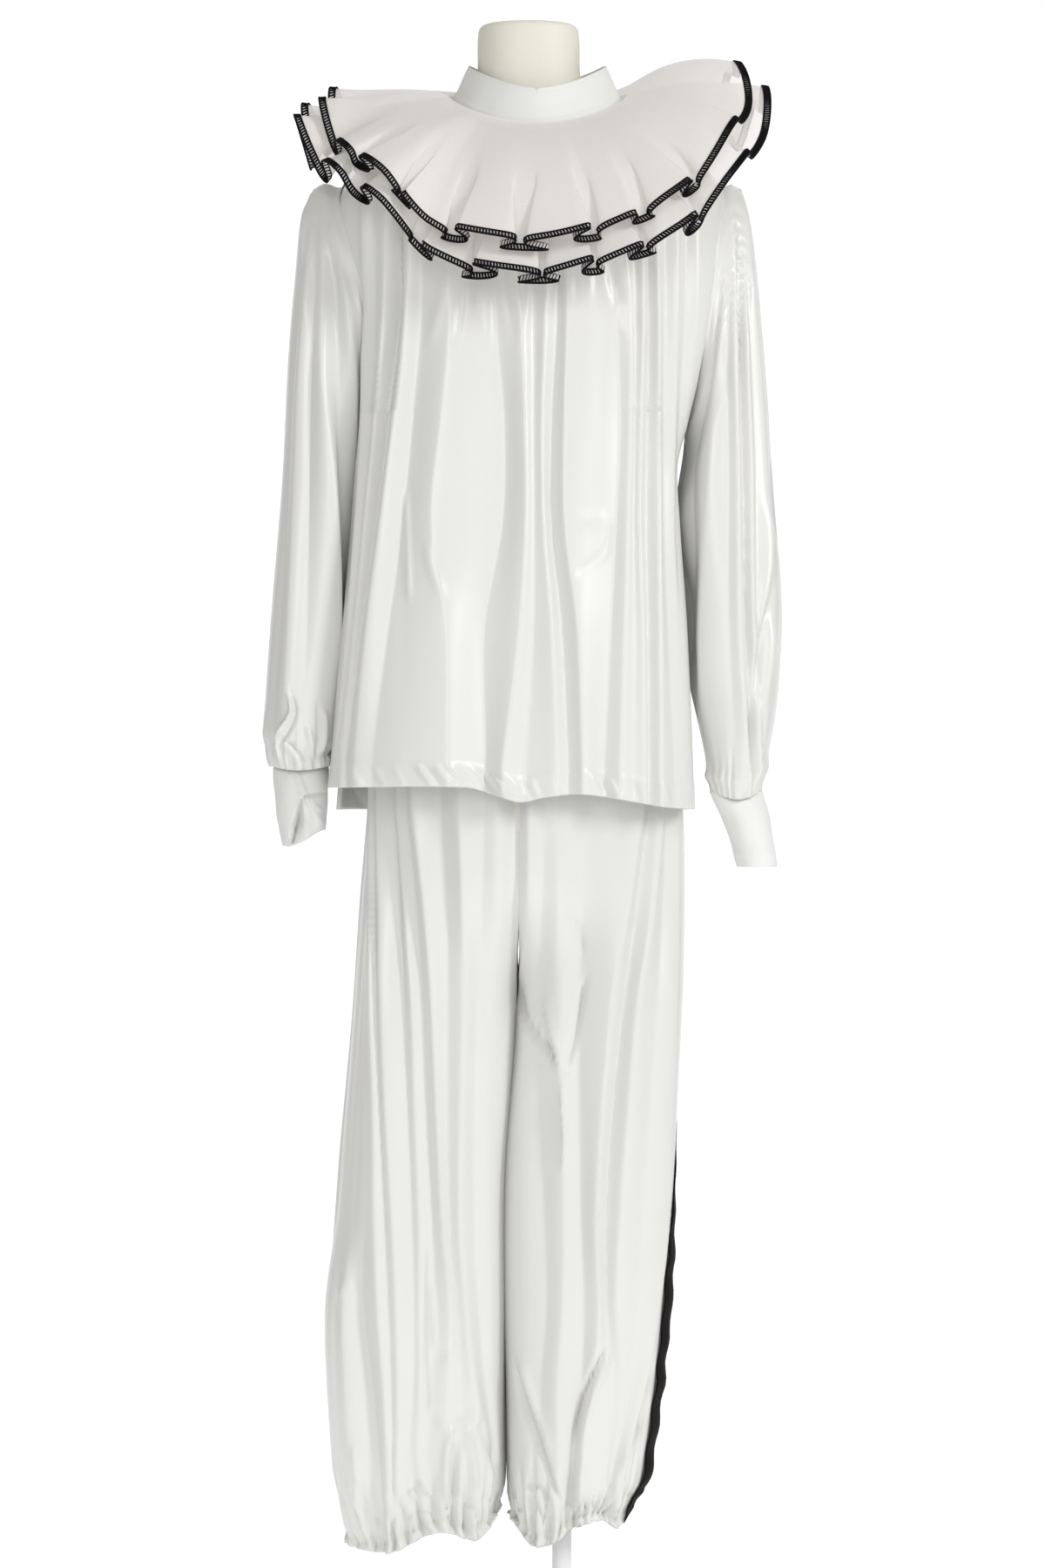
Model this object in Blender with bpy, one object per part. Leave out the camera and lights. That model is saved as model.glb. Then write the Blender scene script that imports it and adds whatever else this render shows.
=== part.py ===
"""Clown costume on a dress form: a satin tunic with a two-layer ruff, satin trousers, torso, pole and base.

Metres, +Z up.  The costume faces -Y, and the origin is on the floor under the middle of the base.
Every cloth piece is a wall of its own, through rows of points that run anticlockwise seen from above.
"""
import math
from collections import namedtuple

import bmesh
import bpy
from mathutils import Vector

# ---- driving sizes --------------------------------------------------------------------------------
SATIN = 0.0012            # wall of the satin pieces
ORGANZA = 0.0011          # wall of the stiff sheer ruff
PLAIN = 0.0014            # wall of the plain cuffs and collar
SEAM = 0.0010             # space between the edges of two pieces at a seam

HEM_FRONT_LEFT, HEM_FRONT_RIGHT, HEM_BACK = 0.8415, 0.8220, 0.8200
UNDERARM, SHOULDER, NECKLINE = 1.200, 1.428, 1.507
# How far the neck's seam and the collar's top tip: with the sine of the plan angle, less its square.
NECK_LIFT, COLLAR_LIFT = (0.0228, 0.0148), (0.0105, 0.0205)
ARMHOLE_DEPTH = 0.060     # half of the armhole, front to back
CHORD_ROOM = 1.075        # the armhole is cut this much deeper, as its edge is straight between rows
SLEEVE_SEAM = 0.0018      # space between the armhole's edge and the sleeve's

COLLAR_FOOT, COLLAR_HEIGHT = 1.5110, 0.0345
RUFF_FOOT = 1.5140        # where the lower ruff layer is sewn on, at the sides
RUFF_START = (0.0875, 0.0760)
RUFF_CENTRE = 0.0120
LAYER_STEP = 0.0040       # the upper layer is sewn on this much higher
CREST_SHARE = 0.5         # how much wider a lapped wave's crest is than its trough
RUFF_REACH = 0.150        # where a wave has the rise given for it, from the neck
RUFF_SPRING = 3.2         # how strongly the waves grow towards the edge
WAVE_STEPS = 8            # points to a wave near the ruff's edge

WAIST, CROTCH, LEG_HEM = 1.030, 0.600, 0.112
BAND_HEIGHT = 0.034
STRIPE_WIDTH = 0.028
SEAM_RIDGE = 0.0042       # how far the right outer seam stands out near the hem
RIDGE_AT, RIDGE_SPREAD = 0.055, 0.085   # how far behind the seam, and half width; 1 is half round

POLE_AT = (0.036, 0.010)
POLE_RADIUS, POLE_SIDES = 0.0095, 16
BASE_RADIUS, BASE_THICKNESS, BASE_BEVEL, BASE_SIDES = 0.175, 0.008, 0.002, 36
FORM_FLOOR = 0.800

# ---- sections -------------------------------------------------------------------------------------
Body = namedtuple("Body", "z centre half front back")
# A tunic section: full is how square its front is, corner how far its front corners stand out at the sides.
Section = namedtuple("Section", "z centre half front back full corner")
TUNIC = (
    Section(0.820, -0.0130, 0.1720, 0.1300, 0.1220, 4.0, 0.0070),
    Section(1.000, -0.0098, 0.1617, 0.1250, 0.1160, 4.0, 0.0060),
    Section(1.140, -0.0090, 0.1530, 0.1180, 0.1110, 4.0, 0.0055),
    Section(1.200, -0.0020, 0.1580, 0.1150, 0.1090, 3.6, 0.0040),
    Section(1.310, 0.0110, 0.1740, 0.1110, 0.1070, 3.2, 0.0020),
    Section(1.400, 0.0050, 0.1870, 0.1060, 0.1030, 3.0, 0.0000),
    Section(1.432, 0.0070, 0.1780, 0.1020, 0.1000, 2.8, 0.0000),
    Section(1.465, 0.0120, 0.1400, 0.0930, 0.0920, 2.5, 0.0000),
    Section(1.490, 0.0130, 0.1050, 0.0800, 0.0800, 2.3, 0.0000),
    Section(1.507, 0.0120, 0.0800, 0.0690, 0.0690, 2.3, 0.0000),
)
CORNER_AT, CORNER_SPREAD = 0.50, 0.22     # where along a section's depth its corners stand, and how wide
TORSO = (
    Body(0.800, 0.0000, 0.1330, 0.0880, 0.0900),
    Body(0.880, 0.0000, 0.1400, 0.0920, 0.0960),
    Body(0.960, 0.0010, 0.1290, 0.0860, 0.0890),
    Body(1.045, 0.0020, 0.1120, 0.0800, 0.0780),
    Body(1.140, 0.0040, 0.1230, 0.0900, 0.0840),
    Body(1.240, 0.0080, 0.1330, 0.0990, 0.0900),
    Body(1.330, 0.0130, 0.1460, 0.0980, 0.0930),
    Body(1.395, 0.0160, 0.1600, 0.0930, 0.0900),
    Body(1.425, 0.0165, 0.1570, 0.0850, 0.0860),
    Body(1.455, 0.0150, 0.1300, 0.0690, 0.0800),
    Body(1.482, 0.0120, 0.0920, 0.0560, 0.0720),
    Body(1.505, 0.0070, 0.0620, 0.0490, 0.0580),
    Body(1.530, 0.0040, 0.0510, 0.0450, 0.0480),
    Body(1.577, 0.0034, 0.0490, 0.0440, 0.0440),
    Body(1.584, 0.0034, 0.0430, 0.0380, 0.0380),
)

Arm = namedtuple("Arm", "z inner outer middle depth")
SLEEVE = {
    -1: (
        Arm(1.440, 0.1780, 0.2000, 0.000, 0.0440),
        Arm(1.395, 0.1830, 0.2170, -0.001, 0.0540),
        Arm(1.338, 0.1775, 0.2240, -0.002, 0.0570),
        Arm(1.253, 0.1680, 0.2310, -0.004, 0.0640),
        Arm(1.134, 0.1655, 0.2365, -0.008, 0.0680),
        Arm(1.015, 0.1730, 0.2460, -0.010, 0.0680),
        Arm(0.930, 0.1815, 0.2520, -0.014, 0.0640),
        Arm(0.885, 0.1850, 0.2540, -0.018, 0.0560),
        Arm(0.862, 0.1890, 0.2450, -0.022, 0.0400),
    ),
    1: (
        Arm(1.436, 0.1890, 0.2060, 0.000, 0.0440),
        Arm(1.409, 0.1900, 0.2155, -0.001, 0.0540),
        Arm(1.354, 0.1890, 0.2245, -0.002, 0.0590),
        Arm(1.272, 0.1785, 0.2320, -0.004, 0.0640),
        Arm(1.148, 0.1470, 0.2405, -0.008, 0.0680),
        Arm(1.015, 0.1560, 0.2495, -0.012, 0.0680),
        Arm(0.950, 0.1590, 0.2470, -0.016, 0.0640),
        Arm(0.915, 0.1660, 0.2430, -0.020, 0.0600),
        Arm(0.880, 0.1735, 0.2370, -0.022, 0.0520),
        Arm(0.840, 0.1790, 0.2300, -0.024, 0.0400),
    ),
}
CUFF = {
    -1: (
        Arm(0.8600, 0.1910, 0.2440, -0.022, 0.0330),
        Arm(0.8400, 0.1920, 0.2430, -0.023, 0.0330),
        Arm(0.8150, 0.1925, 0.2410, -0.024, 0.0310),
        Arm(0.7850, 0.1950, 0.2340, -0.025, 0.0270),
    ),
    1: (
        Arm(0.8380, 0.1795, 0.2300, -0.024, 0.0330),
        Arm(0.8150, 0.1905, 0.2365, -0.026, 0.0310),
        Arm(0.7920, 0.1990, 0.2400, -0.028, 0.0290),
        Arm(0.7650, 0.2060, 0.2430, -0.030, 0.0270),
    ),
}

Leg = namedtuple("Leg", "z outer middle front back")
LEGS = {
    -1: (
        Leg(0.106, 0.1690, 0.0250, 0.0560, 0.0560),
        Leg(0.148, 0.1820, 0.0215, 0.0700, 0.0680),
        Leg(0.188, 0.1887, 0.0200, 0.0780, 0.0760),
        Leg(0.320, 0.1947, 0.0198, 0.0840, 0.0820),
        Leg(0.464, 0.1870, 0.0185, 0.0840, 0.0840),
        Leg(0.589, 0.1760, 0.0100, 0.0880, 0.0920),
        Leg(0.674, 0.1690, 0.0067, 0.0930, 0.0990),
        Leg(0.814, 0.1564, 0.0067, 0.0980, 0.1040),
        Leg(0.920, 0.1500, 0.0030, 0.0980, 0.1020),
        Leg(1.030, 0.1150, 0.0000, 0.0830, 0.0810),
    ),
    1: (
        Leg(0.106, 0.0985, -0.0140, 0.0540, 0.0540),
        Leg(0.148, 0.1100, -0.0160, 0.0680, 0.0660),
        Leg(0.188, 0.1190, -0.0165, 0.0760, 0.0740),
        Leg(0.320, 0.1350, -0.0168, 0.0820, 0.0800),
        Leg(0.464, 0.1445, -0.0160, 0.0830, 0.0830),
        Leg(0.589, 0.1510, -0.0080, 0.0870, 0.0910),
        Leg(0.674, 0.1545, -0.0061, 0.0920, 0.0980),
        Leg(0.814, 0.1540, -0.0061, 0.0970, 0.1030),
        Leg(0.920, 0.1440, -0.0020, 0.0970, 0.1010),
        Leg(1.030, 0.1190, 0.0010, 0.0830, 0.0810),
    ),
}

Flare = namedtuple("Flare", "turn slope arch width")
RUFF = {
    "upper": (
        Flare(0.000, -30.0, 16.0, 0.150),
        Flare(0.125, -20.0, 18.0, 0.148),
        Flare(0.200, -9.0, 20.0, 0.108),
        Flare(0.250, -9.0, 20.0, 0.121),
        Flare(0.310, -24.0, 16.0, 0.132),
        Flare(0.375, -31.0, 14.0, 0.150),
        Flare(0.410, -47.0, 14.0, 0.164),
        Flare(0.500, -49.0, 18.0, 0.172),
        Flare(0.557, -45.0, 18.0, 0.171),
        Flare(0.593, -38.0, 18.0, 0.168),
        Flare(0.629, -31.0, 20.0, 0.156),
        Flare(0.660, -17.0, 24.0, 0.142),
        Flare(0.700, -4.0, 32.0, 0.130),
        Flare(0.750, 13.0, 38.0, 0.114),
        Flare(0.800, 9.0, 36.0, 0.120),
        Flare(0.875, -8.0, 22.0, 0.140),
        Flare(1.000, -30.0, 16.0, 0.150),
    ),
    "lower": (
        Flare(0.000, -40.0, 10.0, 0.178),
        Flare(0.125, -30.0, 10.0, 0.172),
        Flare(0.200, -16.0, 12.0, 0.134),
        Flare(0.250, -15.0, 12.0, 0.147),
        Flare(0.310, -29.0, 10.0, 0.150),
        Flare(0.375, -38.0, 10.0, 0.166),
        Flare(0.410, -54.0, 8.0, 0.180),
        Flare(0.500, -57.0, 10.0, 0.186),
        Flare(0.550, -53.0, 10.0, 0.188),
        Flare(0.582, -47.0, 10.0, 0.190),
        Flare(0.617, -41.0, 12.0, 0.184),
        Flare(0.650, -31.0, 12.0, 0.166),
        Flare(0.700, -12.5, 18.0, 0.149),
        Flare(0.750, 0.5, 24.0, 0.137),
        Flare(0.800, -4.0, 22.0, 0.145),
        Flare(0.875, -20.0, 12.0, 0.166),
        Flare(1.000, -40.0, 10.0, 0.178),
    ),
}
# Where each wave of a layer has its crest, how far it rises at 0.15 m from the neck, how it leans,
# and how far it laps over its neighbours. Beside the shoulders the two layers nest, crest in crest.
Wave = namedtuple("Wave", "number turn rise lean lap")
RUFF_WAVES = {layer: tuple(Wave(number, *row) for number, row in enumerate(rows)) for layer, rows in {
    "upper": (
        (0.002, 0.009, 0.0, 0.00), (0.050, 0.010, 0.0, 0.25), (0.100, 0.012, 0.0, 0.20),
        (0.150, 0.016, 0.0, 0.10), (0.196, 0.026, 0.0, 0.00), (0.232, 0.054, 0.0, 0.00),
        (0.266, 0.040, 0.0, 0.00), (0.318, 0.015, 0.3, 0.40), (0.372, 0.008, -0.6, 0.95),
        (0.404, 0.005, -0.8, 0.95), (0.456, 0.007, -0.5, 0.95), (0.518, 0.005, 0.9, 0.85),
        (0.562, 0.005, 0.3, 0.70), (0.602, 0.006, 0.8, 0.95), (0.648, 0.010, 0.4, 0.50),
        (0.744, 0.014, 0.0, 0.10), (0.804, 0.014, 0.0, 0.10), (0.852, 0.013, 0.0, 0.20),
        (0.900, 0.011, 0.0, 0.30), (0.950, 0.010, 0.0, 0.25), (0.998, 0.009, 0.0, 0.00),
    ),
    "lower": (
        (0.002, 0.009, 0.0, 0.00), (0.050, 0.010, 0.0, 0.25), (0.100, 0.012, 0.0, 0.20),
        (0.150, 0.016, 0.0, 0.10), (0.196, 0.020, 0.0, 0.00), (0.232, 0.038, 0.0, 0.00),
        (0.266, 0.030, 0.0, 0.00), (0.318, 0.015, 0.3, 0.40), (0.378, 0.008, -0.4, 0.80),
        (0.420, 0.005, -0.8, 0.95), (0.474, 0.005, -0.9, 0.95), (0.527, 0.005, 0.7, 0.95),
        (0.563, 0.004, 0.4, 0.95), (0.602, 0.005, 0.8, 0.95), (0.648, 0.010, 0.4, 0.50),
        (0.744, 0.014, 0.0, 0.10), (0.804, 0.014, 0.0, 0.10), (0.852, 0.013, 0.0, 0.20),
        (0.900, 0.011, 0.0, 0.30), (0.950, 0.010, 0.0, 0.25), (0.998, 0.009, 0.0, 0.00),
    ),
}.items()}

# ---- folds ----------------------------------------------------------------------------------------
# x_top, x_mid and x_low are where a fold runs at z_top, half way and z_low; it rises (or falls) by
# rise_top and rise_low at its two ends, and spread is the half width of its back.
Fold = namedtuple("Fold", "x_top x_mid x_low z_top z_low rise_top rise_low spread")
FRONT_FOLDS = (
    Fold(-0.128, -0.141, -0.186, 1.400, 0.820, -0.013, -0.003, 0.0090),
    Fold(-0.108, -0.120, -0.160, 1.400, 0.820, 0.005, 0.010, 0.0150),
    Fold(-0.085, -0.095, -0.118, 1.360, 0.820, -0.003, -0.008, 0.0140),
    Fold(-0.062, -0.060, -0.052, 1.360, 0.820, 0.003, 0.012, 0.0190),
    Fold(-0.018, -0.020, -0.026, 1.340, 0.820, -0.003, -0.012, 0.0100),
    Fold(-0.003, -0.003, -0.003, 1.340, 0.820, 0.002, 0.008, 0.0080),
    Fold(0.020, 0.024, 0.036, 1.340, 0.820, -0.002, -0.010, 0.0080),
    Fold(0.056, 0.058, 0.062, 1.360, 0.820, 0.003, 0.012, 0.0160),
    Fold(0.094, 0.092, 0.080, 1.360, 0.820, -0.003, -0.009, 0.0080),
    Fold(0.126, 0.124, 0.128, 1.400, 0.820, 0.006, 0.010, 0.0110),
    Fold(0.152, 0.144, 0.146, 1.400, 0.820, -0.009, -0.004, 0.0100),
)
BACK_FOLDS = (
    Fold(-0.120, -0.126, -0.150, 1.400, 0.820, -0.008, -0.006, 0.0120),
    Fold(-0.080, -0.085, -0.106, 1.380, 0.820, 0.003, 0.011, 0.0170),
    Fold(-0.045, -0.050, -0.064, 1.360, 0.820, -0.002, -0.009, 0.0120),
    Fold(-0.018, -0.016, -0.018, 1.340, 0.820, 0.002, 0.010, 0.0140),
    Fold(0.022, 0.026, 0.030, 1.340, 0.820, -0.003, -0.010, 0.0110),
    Fold(0.058, 0.064, 0.076, 1.370, 0.820, 0.003, 0.012, 0.0170),
    Fold(0.104, 0.106, 0.118, 1.400, 0.820, -0.007, -0.008, 0.0120),
)
# The same for the two legs, fronts and backs.
LEG_FOLDS = {
    ("front", -1): (
        Fold(-0.153, -0.150, -0.142, 0.930, 0.200, -0.004, -0.006, 0.0070),
        Fold(-0.132, -0.124, -0.116, 0.900, 0.160, -0.005, -0.005, 0.0060),
        Fold(-0.105, -0.096, -0.082, 0.930, 0.200, 0.005, 0.005, 0.0080),
        Fold(-0.078, -0.080, -0.090, 0.930, 0.250, -0.003, -0.003, 0.0080),
        Fold(-0.058, -0.064, -0.046, 0.930, 0.250, 0.006, 0.005, 0.0100),
        Fold(-0.034, -0.038, -0.036, 0.850, 0.180, -0.004, -0.003, 0.0080),
    ),
    ("front", 1): (
        Fold(0.028, 0.034, 0.040, 0.700, 0.330, -0.002, -0.004, 0.0090),
        Fold(0.112, 0.101, 0.082, 0.880, 0.250, -0.007, -0.004, 0.0080),
        Fold(0.132, 0.112, 0.094, 0.880, 0.200, 0.006, 0.004, 0.0080),
        Fold(0.080, 0.078, 0.062, 0.900, 0.300, 0.004, 0.003, 0.0120),
        Fold(0.090, 0.060, 0.047, 0.320, 0.140, -0.003, -0.007, 0.0070),
        Fold(0.100, 0.106, 0.084, 0.430, 0.150, -0.001, -0.006, 0.0070),
    ),
    ("back", -1): (
        Fold(-0.120, -0.128, -0.130, 0.920, 0.180, -0.005, -0.005, 0.0090),
        Fold(-0.085, -0.092, -0.100, 0.920, 0.200, 0.006, 0.006, 0.0110),
        Fold(-0.045, -0.058, -0.064, 0.850, 0.220, -0.005, -0.006, 0.0090),
    ),
    ("back", 1): (
        Fold(0.045, 0.046, 0.040, 0.860, 0.200, -0.005, -0.006, 0.0090),
        Fold(0.084, 0.080, 0.066, 0.920, 0.220, 0.006, 0.006, 0.0110),
        Fold(0.120, 0.112, 0.092, 0.920, 0.180, -0.005, -0.005, 0.0090),
    ),
}
# A sleeve's folds run down it at a turn round it: 0 under the arm, 0.25 in front, 0.5 outside.
Crease = namedtuple("Crease", "turn_top turn_low from_top to_low rise spread")
SLEEVE_CREASES = (
    Crease(0.20, 0.16, 0.02, 0.95, -0.0060, 0.035),
    Crease(0.31, 0.29, 0.04, 0.90, 0.0040, 0.040),
    Crease(0.42, 0.36, 0.02, 0.98, -0.0070, 0.030),
    Crease(0.55, 0.57, 0.05, 0.85, -0.0040, 0.040),
    Crease(0.68, 0.66, 0.03, 0.95, -0.0060, 0.035),
    Crease(0.82, 0.80, 0.06, 0.90, 0.0050, 0.040),
)
SLEEVE_GATHERS, SLEEVE_GATHER_RISE = 10, 0.0028
CAP_PLEATS, CAP_PLEAT_RISE = 8, 0.0022
HEM_GATHERS, HEM_GATHER_RISE = 7, 0.0030     # to each trouser panel


# ---- sums -----------------------------------------------------------------------------------------
def ease(low, high, value):
    """0 below low, 1 above high, smooth between; high may be the smaller."""
    t = min(max((value - low) / (high - low), 0.0), 1.0)
    return t * t * (3.0 - 2.0 * t)


def smooth_at(table, value):
    """The row of a table at a value of its first column, on a smooth curve through the rows."""
    rows = sorted(table)
    value = min(max(value, rows[0][0]), rows[-1][0])
    i = max(k for k in range(len(rows) - 1) if rows[k][0] <= value)
    step = rows[i + 1][0] - rows[i][0]
    t = (value - rows[i][0]) / step

    def slope(k, column):
        low, high = max(k - 1, 0), min(k + 1, len(rows) - 1)
        return (rows[high][column] - rows[low][column]) / (rows[high][0] - rows[low][0])

    out = [value]
    for column in range(1, len(rows[0])):
        a, b = rows[i][column], rows[i + 1][column]
        ma, mb = slope(i, column) * step, slope(i + 1, column) * step
        out.append((2 * t**3 - 3 * t**2 + 1) * a + (t**3 - 2 * t**2 + t) * ma
                   + (3 * t**2 - 2 * t**3) * b + (t**3 - t**2) * mb)
    return getattr(type(rows[0]), "_make", tuple)(out)


def signed_power(value, power):
    return math.copysign(abs(value) ** power, value)


def oval(angle, half, front, back, fullness=2.3):
    """A point of an oval with fuller corners than an ellipse; -Y is the front."""
    power = 2.0 / fullness
    depth = front if math.sin(angle) < 0 else back
    return half * signed_power(math.cos(angle), power), depth * signed_power(math.sin(angle), power)


def even(points, count):
    """The same line as count + 1 points at even distances."""
    lengths = [0.0]
    for a, b in zip(points, points[1:]):
        lengths.append(lengths[-1] + (b - a).length)
    out, k = [], 0
    for i in range(count + 1):
        want = lengths[-1] * i / count
        while k < len(points) - 2 and lengths[k + 1] < want:
            k += 1
        span = max(lengths[k + 1] - lengths[k], 1e-9)
        out.append(points[k].lerp(points[k + 1], min(max((want - lengths[k]) / span, 0.0), 1.0)))
    return out


def moved_out(row, distance, closed=False):
    """A row moved outwards, level, by distance(i, point)."""
    out = []
    last = len(row) - 1
    for i, point in enumerate(row):
        before = row[i - 1] if i > 0 or closed else row[0]
        after = row[(i + 1) % len(row)] if i < last or closed else row[last]
        along = after - before
        level = Vector((along.y, -along.x, 0.0)).normalized()
        out.append(point + level * distance(i, point))
    return out


def fold_rise(folds, x, z):
    """How far the folds of a panel lift the cloth at x, z."""
    total = 0.0
    for f in folds:
        t = (f.z_top - z) / (f.z_top - f.z_low)
        if t < -0.15 or t > 1.15:
            continue
        inside = min(max(t, 0.0), 1.0)
        middle = (2 * (inside - 0.5) * (inside - 1) * f.x_top + 4 * inside * (1 - inside) * f.x_mid
                  + 2 * inside * (inside - 0.5) * f.x_low)
        rise = f.rise_top + (f.rise_low - f.rise_top) * inside
        ends = ease(-0.15, 0.0, t) * ease(1.15, 1.0, t)
        total += rise * ends * math.exp(-((x - middle) / f.spread) ** 2)
    return total


# ---- solids ---------------------------------------------------------------------------------------
def material(name, colour, roughness, metallic=0.0):
    made = bpy.data.materials.new(name)
    made.use_nodes = True
    shader = made.node_tree.nodes["Principled BSDF"]
    shader.inputs["Base Color"].default_value = (*colour, 1.0)
    shader.inputs["Roughness"].default_value = roughness
    shader.inputs["Metallic"].default_value = metallic
    return made


def add(name, bm, look):
    bmesh.ops.recalc_face_normals(bm, faces=bm.faces)
    mesh = bpy.data.meshes.new(name)
    bm.to_mesh(mesh)
    bm.free()
    mesh.shade_smooth()
    mesh.set_sharp_from_angle(angle=math.radians(50))
    mesh.materials.append(look)
    made = bpy.data.objects.new(name, mesh)
    bpy.context.scene.collection.objects.link(made)
    return made


def row_normals(rows, closed):
    """A unit normal for each point of the rows, from its neighbours along and across."""
    normals = []
    for r, row in enumerate(rows):
        line = []
        size = len(row)
        for i, point in enumerate(row):
            before = row[i - 1] if closed or i > 0 else None
            after = row[(i + 1) % size] if closed or i < size - 1 else None
            along = Vector()
            if before is not None:
                along += (point - before).normalized()
            if after is not None:
                along += (after - point).normalized()
            up = rows[min(r + 1, len(rows) - 1)]
            down = rows[max(r - 1, 0)]
            steps = size if closed else size - 1
            share = i / steps
            across = pick(up, share, closed) - pick(down, share, closed)
            line.append(along.cross(across).normalized())
        normals.append(line)
    return normals


def pick(row, share, closed):
    """The point a share of the way along a row."""
    steps = len(row) if closed else len(row) - 1
    place = share * steps
    low = int(place)
    high = (low + 1) % len(row) if closed else min(low + 1, len(row) - 1)
    return row[low % len(row)].lerp(row[high], place - low)


def wall(name, rows, thickness, look, closed=False):
    """A closed cloth wall through rows of points; a row may have a whole multiple of the steps before."""
    normals = row_normals(rows, closed)
    bm = bmesh.new()
    sides = []
    for sign in (0.5, -0.5):
        side = []
        for row, line in zip(rows, normals):
            side.append([bm.verts.new(p + n * thickness * sign) for p, n in zip(row, line)])
        sides.append(side)
    for side in sides:
        for low, high in zip(side, side[1:]):
            strip(bm, low, high, closed)
    outer, inner = sides
    for edge in (0, -1):
        strip(bm, outer[edge], inner[edge], closed)
    if not closed:
        for end in (0, -1):
            rim_outer = [row[end] for row in outer]
            rim_inner = [row[end] for row in inner]
            strip(bm, rim_outer, rim_inner, False)
    return add(name, bm, look)


def strip(bm, low, high, closed):
    """Faces between two rows, where one may have a whole multiple of the other's steps."""
    if len(low) > len(high):
        low, high = high, low
    low_steps = len(low) if closed else len(low) - 1
    high_steps = len(high) if closed else len(high) - 1
    parts = high_steps // low_steps
    middle = (parts + 1) // 2
    for i in range(low_steps):
        left, right = low[i], low[(i + 1) % len(low)]
        fine = [high[(i * parts + k) % len(high)] for k in range(parts + 1)]
        for k in range(parts):
            bm.faces.new((left if k < middle else right, fine[k + 1], fine[k]))
        bm.faces.new((left, right, fine[middle]))


def loft(name, rings, look):
    """A solid through closed rings, with flat ends."""
    bm = bmesh.new()
    made = [[bm.verts.new(p) for p in ring] for ring in rings]
    for low, high in zip(made, made[1:]):
        strip(bm, low, high, True)
    bm.faces.new(made[0])
    bm.faces.new(made[-1])
    return add(name, bm, look)


# ---- tunic ----------------------------------------------------------------------------------------
TUNIC_FINE = 160          # points that a tunic row is read from


def tipped(lift, angle):
    """The height that a ring round the neck gains or loses at a plan angle."""
    return lift[0] * math.sin(angle) - lift[1] * math.sin(angle) ** 2


def neck_lift(angle, z):
    """How far the rows near the neck tip: down in front, a little up behind."""
    return tipped(NECK_LIFT, angle) * ease(1.400, NECKLINE, z)


BACK_FULLNESS = 2.3


def tunic_side(body, y):
    """How far out from its middle a tunic section lies at y."""
    depth, full = (body.front, body.full) if y < 0 else (body.back, BACK_FULLNESS)
    share = min(abs(y) / depth, 1.0)
    corner = body.corner * math.exp(-((share - CORNER_AT) / CORNER_SPREAD) ** 2) if y < 0 else 0.0
    return body.half * (1.0 - share ** full) ** (1.0 / full) + corner


def tunic_point(angle, z):
    body = smooth_at(TUNIC, z)
    full = body.full if math.sin(angle) < 0 else BACK_FULLNESS
    y = oval(angle, body.half, body.front, body.back, full)[1]
    x = math.copysign(tunic_side(body, y), math.cos(angle))
    return Vector((body.centre + x, y, z + neck_lift(angle, z)))


def armhole_reach(z):
    """Half the armhole's opening, front to back, at a height."""
    if not UNDERARM < z < SHOULDER:
        return 0.0
    middle, half = (UNDERARM + SHOULDER) / 2, (SHOULDER - UNDERARM) / 2
    return ARMHOLE_DEPTH * math.sqrt(max(1.0 - ((z - middle) / half) ** 2, 0.0))


def armhole_point(side, turn):
    """The armhole's edge on the tunic: turn 0 under the arm, 0.25 in front, 0.5 at the shoulder."""
    angle = 2.0 * math.pi * turn
    z = (UNDERARM + SHOULDER) / 2 - (SHOULDER - UNDERARM) / 2 * math.cos(angle)
    y = -ARMHOLE_DEPTH * math.sin(angle)
    body = smooth_at(TUNIC, z)
    return Vector((body.centre + side * tunic_side(body, y), y, z))


def tunic_rows(start, end, heights, count, folds, hem):
    """Rows of a tunic panel between two plan angles, cut back at the armholes."""
    rows = []
    for z in heights:
        line = []
        for k in range(TUNIC_FINE + 1):
            angle = start + (end - start) * k / TUNIC_FINE
            point = tunic_point(angle, z)
            at_side = abs(math.cos(angle)) > 0.4
            if at_side and abs(point.y) < armhole_reach(z) * CHORD_ROOM + SEAM / 2:
                continue
            line.append(point)
        row = even(line, count)
        flat = ease(1.440, 1.380, z)

        def rise(i, p, z=z, flat=flat):
            edge = ease(0.0, 0.08, min(i, count - i) / count)
            return flat * edge * fold_rise(folds, p.x, z)

        row = moved_out(row, rise)
        if z == heights[0]:
            row = [Vector((p.x, p.y, hem(p.x))) for p in row]
        rows.append(row)
    return rows


def front_hem(x):
    return HEM_FRONT_LEFT + (HEM_FRONT_RIGHT - HEM_FRONT_LEFT) * ease(-0.19, 0.16, x)


def back_hem(x):
    return HEM_BACK


def panel_heights():
    """Rows from the hem to the underarm, round the armhole's curve, and over the shoulder."""
    middle, half = (UNDERARM + SHOULDER) / 2, (SHOULDER - UNDERARM) / 2
    skirt = [0.840 + (UNDERARM - 0.840) * k / 5 for k in range(6)]
    skirt[0] = 0.830
    armhole = [middle - half * math.cos(math.pi * k / 5) for k in range(1, 6)]
    return skirt + armhole + [1.455, 1.482, NECKLINE]


def make_tunic(look):
    gap = math.radians(0.4)
    heights = panel_heights()
    front = tunic_rows(math.pi + gap, 2 * math.pi - gap, heights, 36, FRONT_FOLDS, front_hem)
    wall("tunic_front", front, SATIN, look)
    right = tunic_rows(gap, math.pi / 2 - gap, heights, 12, BACK_FOLDS, back_hem)
    wall("tunic_back_right", right, SATIN, look)
    left = tunic_rows(math.pi / 2 + gap, math.pi - gap, heights, 12, BACK_FOLDS, back_hem)
    wall("tunic_back_left", left, SATIN, look)


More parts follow.
